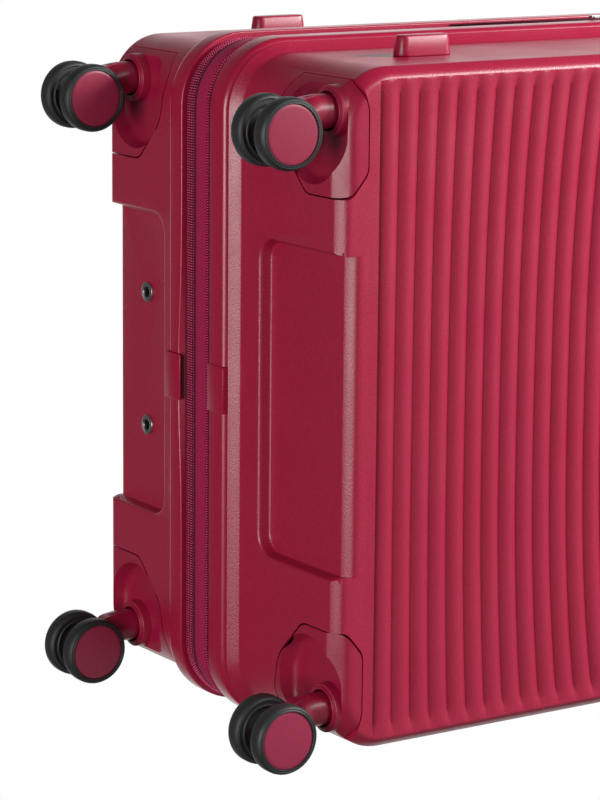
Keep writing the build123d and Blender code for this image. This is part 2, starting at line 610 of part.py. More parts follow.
def carry_handle(rise):
    """A carry handle over z = 0, along X: a bowed bar with two legs that slide through the wall."""
    bar = extrude(RectangleRounded(HANDLE_LENGTH, HANDLE_WIDTH, HANDLE_WIDTH / 2 - 2), amount=HANDLE_THICKNESS)
    bar = fillet(bar.faces().sort_by(Axis.Z)[-1].edges(), 3.5)
    handle = Pos(0, 0, rise - HANDLE_THICKNESS) * bar
    for low, high in leg_spans(0, 0):
        foot_low = -WALL - HANDLE_LIFT - 2 * FIT - LEG_STOP
        handle += box((low, high), (-LEG_WIDTH / 2, LEG_WIDTH / 2), (foot_low, rise - 2))
        handle += box((low - 3, high + 3), (-LEG_WIDTH / 2 - 3, LEG_WIDTH / 2 + 3), (foot_low, foot_low + LEG_STOP))
    return handle


TOP_HANDLE_FRAME = Pos(0, TOP_HANDLE_Y, BODY_TOP)
SIDE_HANDLE_FRAME = Location(Plane(origin=(HALF_WIDTH, SIDE_HANDLE_Y, BODY_MIDDLE), x_dir=(0, 0, 1), z_dir=(1, 0, 0)))


def handle_plates():
    plates = []
    for frame in (TOP_HANDLE_FRAME, SIDE_HANDLE_FRAME):
        for sign in (-1, 1):
            shift = Pos(sign * (HANDLE_LENGTH / 2 - LEG_INSET), 0, SNUG)
            plates.append(frame * shift * handle_plate())
    return Compound(children=plates)


LOCK_MIDDLE_Y = (LOCK_Y[0] + LOCK_Y[1]) / 2
DIAL_X = LOCK_REACH + DIAL_PROUD - DIAL_RADIUS
DIAL_LEVELS = [BODY_MIDDLE + (number - 1) * DIAL_PITCH for number in range(3)]
LOCK_BUTTON_Z = BODY_MIDDLE - 24.0
KEYHOLE_Z = BODY_MIDDLE + 25.0
PULL_X = HALF_WIDTH + ZIP_PROUD + FIT + SLIDER_THICKNESS


def lock_button_sketch(grow):
    return RectangleRounded(LOCK_BUTTON[0] + 2 * grow, LOCK_BUTTON[1] + 2 * grow, 3)


def lock_case():
    """The combination lock: a case with dial windows, a keyhole and a notch for each zip pull."""
    case = box((HALF_WIDTH + SNUG, LOCK_REACH), LOCK_Y, (BODY_MIDDLE - LOCK_LENGTH / 2, BODY_MIDDLE + LOCK_LENGTH / 2))
    case = fillet(case.edges().filter_by(Axis.X), 6)
    case = fillet(case.faces().sort_by(Axis.X)[-1].edges(), 1.5)
    for level in DIAL_LEVELS:
        case -= upright(DIAL_RADIUS + FIT, level - DIAL_WIDTH / 2 - FIT, level + DIAL_WIDTH / 2 + FIT,
                        DIAL_X, LOCK_MIDDLE_Y)
    button_plane = Plane(origin=(LOCK_REACH + 1, LOCK_MIDDLE_Y, LOCK_BUTTON_Z), x_dir=(0, 1, 0), z_dir=(1, 0, 0))
    depth = LOCK_BUTTON_HEIGHT + LOCK_BUTTON_TRAVEL + 1
    case -= extrude(button_plane * lock_button_sketch(FIT), amount=-depth)
    case -= Pos(LOCK_REACH, LOCK_MIDDLE_Y, KEYHOLE_Z) * Rot(0, 90, 0) * Cylinder(KEYHOLE_RADIUS, 6)
    for sign in (-1, 1):
        z = BODY_MIDDLE + sign * PULL_SPACING / 2
        case -= box((PULL_X - PULL_THICKNESS / 2 - FIT, LOCK_REACH + 5),
                    (LOCK_Y[0] - 1, MAIN_ZIP_Y + PULL_LENGTH + FIT),
                    (z - MAIN_BAR_LENGTH / 2, z + MAIN_BAR_LENGTH / 2))
    pin = upright(DIAL_PIN_RADIUS, DIAL_LEVELS[0] - DIAL_PITCH, DIAL_LEVELS[-1] + DIAL_PITCH, DIAL_X, LOCK_MIDDLE_Y)
    return case + pin


def dial(level):
    """A number wheel of the lock, with ten thumb notches."""
    wheel_body = upright(DIAL_RADIUS, level - DIAL_WIDTH / 2, level + DIAL_WIDTH / 2, DIAL_X, LOCK_MIDDLE_Y)
    notch = upright(0.6, level - DIAL_WIDTH, level + DIAL_WIDTH)
    for location in PolarLocations(DIAL_RADIUS + 0.2, 10, start_angle=18):
        wheel_body -= Pos(DIAL_X, LOCK_MIDDLE_Y, 0) * location * notch
    bore = upright(DIAL_PIN_RADIUS + RUNNING_FIT, level - DIAL_WIDTH, level + DIAL_WIDTH, DIAL_X, LOCK_MIDDLE_Y)
    return wheel_body - bore


def lock_button():
    """The push button that frees the zip pulls."""
    plane = Plane(origin=(LOCK_REACH + 1.0, LOCK_MIDDLE_Y, LOCK_BUTTON_Z), x_dir=(0, 1, 0), z_dir=(1, 0, 0))
    button = extrude(plane * lock_button_sketch(0), amount=-LOCK_BUTTON_HEIGHT)
    return fillet(button.faces().sort_by(Axis.X)[-1].edges(), 0.6)


def main_zip_sliders():
    return Compound(children=[main_slider_frame(sign) * slider(MAIN_BAR_LENGTH) for sign in (-1, 1)])


def expansion_zip_front():
    """The zip half sewn to the front rim, and the slider that is parked on it."""
    half = ring(ZIP_PROUD, ZIP_THICKNESS, FRONT_RIM_Y, expansion_zip_y() - ZIP_GAP / 2)
    return Compound(children=[half, expansion_slider_frame() * slider(EXPANSION_BAR_LENGTH)])


def lining(panel_y, edge_y):
    """A sewn lining: a soft tray inside one half of the case."""
    width = BODY_WIDTH - 2 * (WALL + LINING_SIDE_GAP)
    height = LINING_CEILING - LINING_FLOOR
    middle = (LINING_CEILING + LINING_FLOOR) / 2 - BODY_MIDDLE
    outer = Pos(0, middle) * RectangleRounded(width, height, CORNER_RADIUS - 10)
    inner = Pos(0, middle) * RectangleRounded(width - 2 * LINING_THICKNESS, height - 2 * LINING_THICKNESS,
                                             CORNER_RADIUS - 10 - LINING_THICKNESS)
    low, high = sorted((panel_y, edge_y))
    if panel_y < edge_y:
        tray = slab(outer, low, high) - slab(inner, low + LINING_THICKNESS, high + 1)
        hem_low = high - LINING_HEM
    else:
        tray = slab(outer, low, high) - slab(inner, low - 1, high - LINING_THICKNESS)
        hem_low = low
    hem = slab(outline(-WALL - FIT), hem_low, hem_low + LINING_HEM) - slab(inner, hem_low - 1, hem_low + LINING_HEM + 1)
    return tray + hem


def packing_straps():
    """Two elastic straps across the bottom of the packing space."""
    half = HALF_WIDTH - WALL - LINING_SIDE_GAP - LINING_THICKNESS - FIT
    high_y = BACK_LINING_Y - LINING_THICKNESS - FIT
    return Compound(children=[
        box((-half, half), (high_y - STRAP_THICKNESS, high_y), (z - STRAP_WIDTH / 2, z + STRAP_WIDTH / 2))
        for z in STRAP_Z])


def hinge_tape():
    """The strip of cloth that joins the two halves on the hinge side, over the zip."""
    inner = -(HALF_WIDTH + ZIP_PROUD + FIT)
    high = BODY_TOP - HINGE_TAPE_FROM_TOP
    return box((inner - HINGE_TAPE_THICKNESS, inner), (BAND_BACK_Y - 2, BACK_RIM_Y - FIT),
               (high - HINGE_TAPE_LENGTH, high))


def build_parts():
    parts = {
        "back_shell": back_shell(),
        "front_shell": front_shell(),
        "back_rim": rim(BACK_RIM_Y, BACK_RIM_Y),
        "front_rim": rim(FRONT_RIM_Y - RIM_DEPTH, FRONT_EDGE_Y + SNUG),
        "back_rim_joiner": joiner(BACK_RIM_Y, 1),
        "front_rim_joiner": joiner(FRONT_RIM_Y - RIM_DEPTH, -1),
        "main_zip_back": ring(ZIP_PROUD, ZIP_THICKNESS, MAIN_ZIP_Y + ZIP_GAP / 2, BACK_RIM_Y),
        "zip_band": zip_band(),
        "expansion_zip_front": expansion_zip_front(),
        "expansion_gusset": ring(GUSSET_PROUD, GUSSET_THICKNESS, FRONT_RIM_Y + FIT, BAND_BACK_Y),
        "hinge_tape": hinge_tape(),
        "back_feet": feet(1),
        "front_feet": feet(-1),
        "back_lining": lining(BACK_LINING_Y, BACK_EDGE_Y),
        "front_lining": lining(FRONT_Y + WALL + FRONT_LINING_GAP, FRONT_EDGE_Y),
        "packing_straps": packing_straps(),
        "trolley_frame": trolley_frame(),
        "trolley_rivets": trolley_rivets(),
        "trolley_bezel": trolley_bezel(),
        "trolley_middle_tubes": middle_tubes(),
        "trolley_top_tubes": top_tubes(),
        "trolley_grip": trolley_grip(),
        "trolley_button": trolley_button(),
        "handle_plates": handle_plates(),
        "top_handle": TOP_HANDLE_FRAME * carry_handle(TOP_HANDLE_RISE),
        "side_handle": SIDE_HANDLE_FRAME * carry_handle(SIDE_REACH - HALF_WIDTH),
        "lock_case": lock_case(),
        "lock_button": lock_button(),
        "main_zip_sliders": main_zip_sliders(),
        "expansion_pull": expansion_slider_frame() * pull(EXPANSION_BAR_LENGTH, EXPANSION_PULL_LENGTH),
    }
    for number, level in enumerate(DIAL_LEVELS, start=1):
        parts[f"lock_dial_{number}"] = dial(level)
    for name, sign in (("lower", -1), ("upper", 1)):
        parts[f"main_pull_{name}"] = main_slider_frame(sign) * pull(MAIN_BAR_LENGTH, PULL_LENGTH)
    for corner, (side, panel) in CORNERS.items():
        frame = caster_frame(side, panel)
        parts[f"housing_{corner}"] = corner_housing(side, panel)
        parts[f"fork_{corner}"] = frame * fork()
        parts[f"wheel_{corner}_a"] = frame * wheel()
        parts[f"cap_{corner}_a"] = frame * wheel_cap()
        parts[f"wheel_{corner}_b"] = frame * mirror(wheel(), about=Plane.XZ)
        parts[f"cap_{corner}_b"] = frame * mirror(wheel_cap(), about=Plane.XZ)
    return parts


def main():
    os.makedirs("parts", exist_ok=True)
    for name, shape in build_parts().items():
        export_step(shape, f"parts/{name}.step")
        print(name, len(shape.solids()), round(shape.volume / 1000, 1), "cm3")


main()
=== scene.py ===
# %% [markdown]
# # Hard shell suitcase on twin casters
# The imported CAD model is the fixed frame. Pieces are placed from its boxes and joints, so the looks don't
# drift away from the parts that move. Sizes in this file are in millimetres, and one constant turns them
# into Blender's metres.

# %% Load the frame
import json
import math

import bmesh
import bpy
import numpy as np
from mathutils import Matrix, Vector


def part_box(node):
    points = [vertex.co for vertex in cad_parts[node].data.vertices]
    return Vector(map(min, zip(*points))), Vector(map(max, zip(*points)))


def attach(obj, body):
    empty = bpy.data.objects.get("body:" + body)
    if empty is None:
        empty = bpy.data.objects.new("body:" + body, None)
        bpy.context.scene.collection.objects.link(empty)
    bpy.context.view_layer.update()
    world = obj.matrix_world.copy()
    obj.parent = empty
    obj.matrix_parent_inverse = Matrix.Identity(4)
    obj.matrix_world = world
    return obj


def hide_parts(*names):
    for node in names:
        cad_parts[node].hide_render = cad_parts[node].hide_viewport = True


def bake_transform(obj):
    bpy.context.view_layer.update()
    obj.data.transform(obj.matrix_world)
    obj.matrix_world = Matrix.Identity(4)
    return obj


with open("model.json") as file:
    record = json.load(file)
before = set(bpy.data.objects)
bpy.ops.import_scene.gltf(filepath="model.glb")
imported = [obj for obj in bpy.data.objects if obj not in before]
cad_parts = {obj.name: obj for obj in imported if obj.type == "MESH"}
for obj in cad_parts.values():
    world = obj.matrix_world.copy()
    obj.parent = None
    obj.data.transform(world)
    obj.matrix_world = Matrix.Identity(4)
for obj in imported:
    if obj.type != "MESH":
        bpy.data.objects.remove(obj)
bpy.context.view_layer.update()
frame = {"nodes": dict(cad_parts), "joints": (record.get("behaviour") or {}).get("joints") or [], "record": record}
MM = 0.001

# %% [markdown]
# ## Small tools
# Three helpers carry the whole file. One reads a CAD node's box in millimetres. One turns points and faces
# into an object at the origin. One joins two closed meshes with a boolean, which is how a moulded shell
# gets its troughs, corners and ribs: the same cuts that the mould has.


# %% Boxes, meshes and booleans
def box_mm(name):
    """The lowest and highest corner of a CAD node, in millimetres."""
    low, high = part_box(name)
    return np.array(low) / MM, np.array(high) / MM


def joint_mm(name):
    """Where a CAD joint turns, in millimetres."""
    return np.array(next(j for j in frame["joints"] if j["name"] == name)["pos_m"]) / MM


def box_middle(name, axis):
    return np.mean([corner[axis] for corner in box_mm(name)])


def circle(cx, cy, radius, count):
    """A round outline as 2D points."""
    return [(cx + radius * math.cos(a), cy + radius * math.sin(a))
            for a in np.linspace(0, math.tau, count, endpoint=False)]


def new_object(name, mesh):
    made = bpy.data.objects.new(name, mesh)
    bpy.context.scene.collection.objects.link(made)
    return made


def solid(name, points, faces):
    """A closed mesh from points in millimetres, with its faces pointing outwards."""
    mesh = bpy.data.meshes.new(name)
    mesh.from_pydata((np.asarray(points, float) * MM).tolist(), [], [list(map(int, f)) for f in faces])
    work = bmesh.new()
    work.from_mesh(mesh)
    bmesh.ops.remove_doubles(work, verts=work.verts, dist=1e-7)
    bmesh.ops.recalc_face_normals(work, faces=work.faces)
    work.to_mesh(mesh)
    work.free()
    return new_object(name, mesh)


def loft(name, rings, closed=False):
    """Joins rings of as many points each, and caps the two ends unless the rings run round to the first."""
    count = len(rings[0])
    points = np.vstack(rings)
    faces = []
    spans = len(rings) if closed else len(rings) - 1
    for r in range(spans):
        a, b = r * count, (r + 1) % len(rings) * count
        faces += [(a + i, a + (i + 1) % count, b + (i + 1) % count, b + i) for i in range(count)]
    if not closed:
        last = (len(rings) - 1) * count
        faces += [range(count), range(last, last + count)]
    return solid(name, points, faces)


def applied(made):
    """Replaces an object's mesh with what its modifiers make of it."""
    graph = bpy.context.evaluated_depsgraph_get()
    mesh = bpy.data.meshes.new_from_object(made.evaluated_get(graph))
    made.modifiers.clear()
    made.data = mesh
    return made


def boolean(base, other, operation):
    """Unites, cuts or intersects base with other, which is used up."""
    step = base.modifiers.new("boolean", "BOOLEAN")
    step.operation = operation
    step.object = other
    step.solver = "MANIFOLD"
    applied(base)
    bpy.data.objects.remove(other)
    return base


def triangles(made):
    return sum(len(p.vertices) - 2 for p in made.data.polygons)


# %% Finishing a piece
def finish_piece(made, body, material, replaces=(), sharp=32):
    """Smooths the faces up to the sharp angle, and gives the piece its body, finish and CAD nodes."""
    made.data.materials.clear()
    made.data.materials.append(material)
    made.data.shade_smooth()
    made.data.set_sharp_from_angle(angle=math.radians(sharp))
    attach(made, body)
    if replaces:
        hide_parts(*replaces)
    return made


def body_of_node(name):
    return next(b for b, members in frame["record"]["behaviour"]["bodies"].items() if name in members)


# %% [markdown]
# ## Finishes
# Each finish starts from what the real surface is. Colours are written as sRGB hex, the way a colour picker
# shows them, and one function turns them to linear light. Scales are worked out from a real grain size.


# %% Colour and node helpers
def linear(hex_colour, alpha=1.0):
    channels = [int(hex_colour[i:i + 2], 16) / 255 for i in (1, 3, 5)]
    return (*[c / 12.92 if c <= 0.04045 else ((c + 0.055) / 1.055) ** 2.4 for c in channels], alpha)


def add(tree, kind, values=None, links=None, **settings):
    """Adds a node: values go to its inputs, links join its inputs to other nodes' outputs."""
    made = tree.nodes.new(kind)
    for key, value in settings.items():
        setattr(made, key, value)
    for key, value in (values or {}).items():
        made.inputs[key].default_value = value
    for key, source in (links or {}).items():
        tree.links.new(source, made.inputs[key])
    return made


def start_material(name, colour, roughness, **shader_values):
    """A Principled material; returns the material, its tree and its shader."""
    material = bpy.data.materials.new(name)
    material.use_nodes = True
    tree = material.node_tree
    shader = tree.nodes["Principled BSDF"]
    shader.inputs["Base Color"].default_value = linear(colour)
    shader.inputs["Roughness"].default_value = roughness
    for key, value in shader_values.items():
        shader.inputs[key.replace("_", " ")].default_value = value
    return material, tree, shader


def per_metre(size_mm):
    """The noise scale whose blobs are about size_mm across."""
    return 1 / (size_mm * MM)


def grain(tree, shader, size_mm, height_mm, strength, colours=None, rough=None):
    """A fine moulded grain: bump, and if wanted a change of colour and roughness with it."""
    place = add(tree, "ShaderNodeTexCoord")
    noise = add(tree, "ShaderNodeTexNoise", {"Scale": per_metre(size_mm), "Detail": 2.0, "Roughness": 0.6},
                {"Vector": place.outputs["Object"]})
    bump = add(tree, "ShaderNodeBump", {"Strength": strength, "Distance": height_mm * MM},
               {"Height": noise.outputs["Fac"]})
    tree.links.new(bump.outputs["Normal"], shader.inputs["Normal"])
    if colours:
        ramp = add(tree, "ShaderNodeValToRGB", links={"Fac": noise.outputs["Fac"]})
        ramp.color_ramp.elements[0].position = 0.3
        ramp.color_ramp.elements[1].position = 0.7
        for stop, colour in zip(ramp.color_ramp.elements, colours):
            stop.color = linear(colour)
        tree.links.new(ramp.outputs["Color"], shader.inputs["Base Color"])
    if rough:
        wide = add(tree, "ShaderNodeTexNoise", {"Scale": per_metre(45), "Detail": 3.0},
                   {"Vector": place.outputs["Object"]})
        spread = add(tree, "ShaderNodeMapRange", {"From Min": 0.3, "From Max": 0.7, "To Min": rough[0],
                                                  "To Max": rough[1]}, {"Value": wide.outputs["Fac"]})
        tree.links.new(spread.outputs["Result"], shader.inputs["Roughness"])
    return noise


# %% [markdown]
# The shells are vacuum formed polycarbonate film with a fine leathery grain. The real grain is about half a
# millimetre, which is too fine to show, so it is drawn at 1.3 mm. It breaks the highlight into sparkles, so
# bump does more than colour here. An image of leather would be quicker, but noise needs no seams and no
# file. The smooth mouldings (corner housings, forks and feet) are the same dye in a satin nylon, and the
# rims are an extruded profile that shines a little more.


# %% Moulded plastics
def grained_polycarbonate():
    material, tree, shader = start_material("grained_polycarbonate", "#9d0f36", 0.38, IOR=1.58)
    grain(tree, shader, 1.3, 0.2, 0.75, ("#930b30", "#a8133c"), (0.33, 0.41))
    return material


def satin_nylon():
    material, tree, shader = start_material("satin_nylon", "#990f36", 0.36, IOR=1.53)
    grain(tree, shader, 1.3, 0.12, 0.6, ("#920c33", "#a0123a"), (0.32, 0.4))
    return material


def smooth_rim_profile():
    material, tree, shader = start_material("smooth_rim_profile", "#9e0d36", 0.3, IOR=1.53)
    grain(tree, shader, 3.0, 0.02, 0.2, ("#9a0b34", "#a21039"), (0.26, 0.34))
    return material


def painted_wheel_cap():
    material, tree, shader = start_material("painted_wheel_cap", "#8f2240", 0.42, IOR=1.5)
    grain(tree, shader, 1.4, 0.02, 0.3, ("#8a1f3c", "#952644"), (0.38, 0.46))
    return material


def cast_polyurethane():
    material, tree, shader = start_material("cast_polyurethane", "#222323", 0.5, IOR=1.5)
    grain(tree, shader, 1.2, 0.03, 0.4, ("#1e1f1f", "#282929"), (0.48, 0.62))
    return material


SHELL = grained_polycarbonate()
NYLON = satin_nylon()
RIM = smooth_rim_profile()
CAP = painted_wheel_cap()
TYRE = cast_polyurethane()

# %% [markdown]
# The cloth parts are polyester. The band between the two zips is a twill tape whose diagonal ribs show, so
# it is two crossing waves, turned by the slant of the twill. The lining and the webbing are plain weaves.
# Real threads are about half a millimetre apart, which is too fine to show, so all of them are drawn
# coarser.


# %% Woven and metal finishes
def weave(name, dark, light, thread_mm, roughness, slant=0.0, sheen=0.05):
    """Woven cloth: bands of thread in two directions, with a fuzzy sheen."""
    material, tree, shader = start_material(name, dark, roughness, IOR=1.5)
    shader.inputs["Sheen Weight"].default_value = sheen
    shader.inputs["Sheen Roughness"].default_value = 0.5
    shader.inputs["Specular IOR Level"].default_value = 0.15
    place = add(tree, "ShaderNodeUVMap", uv_map="UVMap")
    turn = add(tree, "ShaderNodeMapping", links={"Vector": place.outputs["UV"]})
    turn.inputs["Rotation"].default_value = (0, 0, slant)
    scale = math.tau / 20 / (thread_mm * MM)    # a wave texture has a band every tau / 20 / scale
    warp = add(tree, "ShaderNodeTexWave", {"Scale": scale, "Distortion": 0.6, "Detail": 1.0},
               {"Vector": turn.outputs["Vector"]}, wave_type="BANDS", bands_direction="X")
    weft = add(tree, "ShaderNodeTexWave", {"Scale": scale * 1.3, "Distortion": 0.6, "Detail": 1.0},
               {"Vector": turn.outputs["Vector"]}, wave_type="BANDS", bands_direction="Y")
    cloth = add(tree, "ShaderNodeMath", links={0: warp.outputs["Fac"], 1: weft.outputs["Fac"]},
                operation="MULTIPLY")
    ramp = add(tree, "ShaderNodeValToRGB", links={"Fac": cloth.outputs["Value"]})
    ramp.color_ramp.elements[0].color = linear(dark)
    ramp.color_ramp.elements[1].color = linear(light)
    ramp.color_ramp.elements[1].position = 0.7
    bump = add(tree, "ShaderNodeBump", {"Strength": 0.8, "Distance": 0.25 * MM},
               {"Height": cloth.outputs["Value"]})
    tree.links.new(ramp.outputs["Color"], shader.inputs["Base Color"])
    tree.links.new(bump.outputs["Normal"], shader.inputs["Normal"])
    return material


def nickel_plated_zinc():
    material, tree, shader = start_material("nickel_plated_zinc", "#b9b7b6", 0.28, Metallic=1.0)
    grain(tree, shader, 1.5, 0.01, 0.2, ("#aeacab", "#c2c0bf"), (0.22, 0.36))
    return material


def anodised_aluminium():
    material, tree, shader = start_material("anodised_aluminium", "#b4b5b8", 0.32, Metallic=1.0)
    grain(tree, shader, 0.8, 0.01, 0.2, ("#adaeb1", "#bbbcbf"), (0.28, 0.38))
    return material


# The coil is the case's red, drawn a lighter pink as a painted highlight along the bead rows.
def nylon_coil_painted_highlight():
    material, tree, shader = start_material("nylon_coil_painted_highlight", "#d63c6c", 0.35, IOR=1.53)
    grain(tree, shader, 1.5, 0.02, 0.2, ("#c83060", "#e24a7a"), (0.3, 0.42))
    return material


def satin_black_abs():
    material, tree, shader = start_material("satin_black_abs", "#1d1c1f", 0.34, IOR=1.54)
    grain(tree, shader, 1.2, 0.02, 0.3, ("#19181b", "#222124"), (0.3, 0.4))
    return material


TWILL = weave("twill_tape", "#7c0f36", "#d02a60", 1.8, 0.85, math.radians(35))
# The zip tape is the cloth's own dark red made darker still: painted shade between the coil beads. The hinge tape
# shares it.
TAPE_PAINTED_SHADE = weave("zip_tape", "#3a061b", "#7a1136", 0.9, 0.85)
LINING = weave("lining_cloth", "#26272b", "#4a4b52", 1.6, 0.75)
WEBBING = weave("webbing", "#1c1c1f", "#3a3a40", 1.8, 0.7)
METAL = nickel_plated_zinc()
TUBE = anodised_aluminium()
COIL_PAINTED_HIGHLIGHT = nylon_coil_painted_highlight()
BLACK = satin_black_abs()
print("materials:", len(bpy.data.materials))

# %% [markdown]
# ## The outline of the case
# Rims, zips and band all follow one rounded rectangle. It is worked out once as stations, each with a place
# and an outward direction, and a profile drawn as (how proud, where along Y) is swept round it. A curve
# with a bevel object would do the same, but a sweep in code gives long clean strips of faces and its own UV
# map.

# %% Stations on the outline
front_low, front_high = box_mm("front_shell")
back_low, back_high = box_mm("back_shell")
HALF_WIDTH = front_high[0]
HALF_HEIGHT = (front_high[2] - front_low[2]) / 2
MIDDLE = (front_high[2] + front_low[2]) / 2
BOTTOM = front_low[2]
CORNER = 42.0
WALL = 2.0


def stations(straight=12.0, arc_steps=16):
    """Points round the case from the bottom middle: x, z, outward x, outward z, distance travelled."""
    reach_x, reach_z = HALF_WIDTH - CORNER, HALF_HEIGHT - CORNER
    rows = []

    def run(start, end, normal):
        steps = max(1, round(math.dist(start, end) / straight))
        for i in range(steps):
            t = i / steps
            rows.append((start[0] + (end[0] - start[0]) * t, start[1] + (end[1] - start[1]) * t, *normal))

    def arc(centre, start_degrees):
        for i in range(arc_steps):
            a = math.radians(start_degrees + 90 * i / arc_steps)
            rows.append((centre[0] + CORNER * math.cos(a), centre[1] + CORNER * math.sin(a),
                         math.cos(a), math.sin(a)))

    run((0, -HALF_HEIGHT), (reach_x, -HALF_HEIGHT), (0, -1))
    arc((reach_x, -reach_z), -90)
    run((HALF_WIDTH, -reach_z), (HALF_WIDTH, reach_z), (1, 0))
    arc((reach_x, reach_z), 0)
    run((reach_x, HALF_HEIGHT), (-reach_x, HALF_HEIGHT), (0, 1))
    arc((-reach_x, reach_z), 90)
    run((-HALF_WIDTH, reach_z), (-HALF_WIDTH, -reach_z), (-1, 0))
    arc((-reach_x, -reach_z), 180)
    run((-reach_x, -HALF_HEIGHT), (0, -HALF_HEIGHT), (0, -1))
    table = np.array(rows)
    steps = np.hypot(*(np.roll(table[:, :2], -1, 0) - table[:, :2]).T)
    travelled = np.concatenate([[0], np.cumsum(steps)[:-1]])
    table[:, 1] += MIDDLE
    return np.column_stack([table, travelled])


ROUND_CASE = stations()
PERIMETER = ROUND_CASE[-1, 4] + math.dist(ROUND_CASE[-1, :2], ROUND_CASE[0, :2])
print("stations:", len(ROUND_CASE), "perimeter mm:", round(PERIMETER))


# %% Rings, sweeps and rounded profiles
def ring_at(proud, y, table=ROUND_CASE):
    """The outline moved out by proud, at one place along Y."""
    proud, y = np.broadcast_to(proud, len(table)), np.broadcast_to(y, len(table))
    return np.column_stack([table[:, 0] + table[:, 2] * proud, y, table[:, 1] + table[:, 3] * proud])


def sweep(name, profile, table=ROUND_CASE, bend=None):
    """Sweeps a closed profile of (proud, y) points round the case; bend may move them at each station."""
    rings = []
    for proud, y in profile:
        shift = bend(table, proud, y) if bend else (0, 0)
        rings.append(ring_at(proud + shift[0], y + shift[1], table))
    made = loft(name, rings, closed=True)
    add_sweep_uv(made)
    return made


def add_sweep_uv(made):
    """A UV map in metres: u runs round the case and v runs along Y."""
    uv = made.data.uv_layers.new(name="UVMap")
    co = np.array([v.co for v in made.data.vertices])
    distance = np.empty(len(co))
    base = np.column_stack([ROUND_CASE[:, 0], ROUND_CASE[:, 1]]) * MM
    for i, point in enumerate(co[:, (0, 2)]):
        distance[i] = ROUND_CASE[np.argmin(((base - point) ** 2).sum(1)), 4] * MM
    for polygon in made.data.polygons:
        own = [distance[v] for v in polygon.vertices]
        for loop, travelled in zip(polygon.loop_indices, own):
            if max(own) - min(own) > PERIMETER * MM / 2 and travelled < PERIMETER * MM / 2:
                travelled += PERIMETER * MM
            vertex = made.data.loops[loop].vertex_index
            uv.data[loop].uv = (travelled, co[vertex][1])


def rounded(points, radii, steps=4):
    """A polygon of 2D points with each corner rounded by its own radius."""
    out = []
    for i, (corner, radius) in enumerate(zip(points, radii)):
        corner = np.array(corner, float)
        before = np.array(points[i - 1], float) - corner
        after = np.array(points[(i + 1) % len(points)], float) - corner
        if radius <= 0:
            out.append(tuple(corner))
            continue
        a, b = before / np.linalg.norm(before), after / np.linalg.norm(after)
        half = math.acos(np.clip(a @ b, -1, 1)) / 2
        reach = radius / math.tan(half)
        centre = corner + (a + b) / np.linalg.norm(a + b) * radius / math.sin(half)
        start, end = corner + a * reach - centre, corner + b * reach - centre
        sweep_angle = math.atan2(start[0] * end[1] - start[1] * end[0], start @ end)
        for k in range(steps + 1):
            t = sweep_angle * k / steps
            out.append((centre[0] + start[0] * math.cos(t) - start[1] * math.sin(t),
                        centre[1] + start[0] * math.sin(t) + start[1] * math.cos(t)))
    return out


# %% [markdown]
# ## The two rims
# Each half of the case ends in an extruded profile that wraps its edge. The corner that faces the shell is
# rounded generously and catches a long bright line. The corner that faces the zip is nearly sharp. The back
# rim was cut a little long, so under the bottom wall it bows away from the zip and leaves a dark gap.

# %% Rim profiles
rim_high = box_mm("front_rim")[1]
RIM_PROUD = rim_high[0] - HALF_WIDTH
RIM_DEPTH = 20.0
FRONT_RIM = (rim_high[1] - RIM_DEPTH, rim_high[1])
BACK_RIM = (box_mm("back_rim")[0][1], box_mm("back_rim")[0][1] + RIM_DEPTH)
RIM_INSIDE = 0.2           # how far the profile stands off the wall that it wraps
SHELL_SIDE_RADIUS, ZIP_SIDE_RADIUS = 5.6, 1.2
BOW_REACH, BOW_LEAN, BOW_SINK = 62, 6.5, 0.8


def rim_profile(shell_y, zip_y):
    """A closed C profile: outer face, rounded shell corner, hollow behind."""
    points = [(RIM_INSIDE, shell_y), (RIM_PROUD, shell_y), (RIM_PROUD, zip_y), (RIM_INSIDE, zip_y)]
    return rounded(points, [0, SHELL_SIDE_RADIUS, ZIP_SIDE_RADIUS, 0], steps=7)


def bow_from_zip(table, proud, y):
    """How far the back rim leans away from the zip near the middle of the bottom."""
    under = (table[:, 3] < -0.9) * np.exp(-(table[:, 0] / BOW_REACH) ** 2)
    nearness = np.clip((BACK_RIM[1] - y) / (BACK_RIM[1] - BACK_RIM[0]), 0, 1)
    outer = np.clip(proud / RIM_PROUD, 0, 1)
    return -BOW_SINK * under * outer, BOW_LEAN * under * nearness * outer


front_rim = sweep("front_rim_profile", rim_profile(*FRONT_RIM))
finish_piece(front_rim, "front_case", RIM, ["front_rim"])
back_rim = sweep("back_rim_profile", rim_profile(BACK_RIM[1], BACK_RIM[0]), bend=bow_from_zip)
finish_piece(back_rim, "back_case", RIM, ["back_rim"])
print("rim triangles:", triangles(front_rim))

# %% [markdown]
# ## Shells
# A shell is one sheet of polycarbonate drawn down over a mould, so it is lofted as a closed cup: up the
# outside from the open edge, over the panel's chamfered corner, and back down the inside one wall lower.
# The troughs, the corner openings and the ribs are then cut by solids of their own shape, with their corner
# radii built in. A subdivided box would round every edge alike, and these edges differ.

# %% A cup with a chamfered panel edge
# Each edge is (inset from the wall, depth below the panel), from the wall round to the panel.
FRONT_EDGE = [(0, 11.0), (0, 9.0), (0.4, 7.6), (4.6, 2.5), (6.2, 1.0), (8.0, 0.2), (10.5, 0)]
BACK_EDGE = [(0, 6.0), (0, 4.2), (0.2, 2.9), (1.0, 1.3), (2.3, 0.4), (4.0, 0.05), (6.0, 0)]
PANEL_EDGE = {-1: FRONT_EDGE, 1: BACK_EDGE}
HOUSING_EDGE = {1: BACK_EDGE,
                -1: [(0, 16.5), (0, 13.5), (1.0, 11.5), (8.5, 2.7), (10.8, 0.9), (13.0, 0.15), (16.0, 0)]}
# The flare is (how proud, distance from the open edge): the front shell swells just before its rim.
FLARE = [(0, 19.0), (0.5, 17.8), (6.3, 13.0), (7.0, 12.1), (7.0, 11.4)]
UNDER_RIM = 10.8
PANEL_INSIDE = 3.6         # the inner face's drop at the panel, deep enough to clear the ribs' valleys


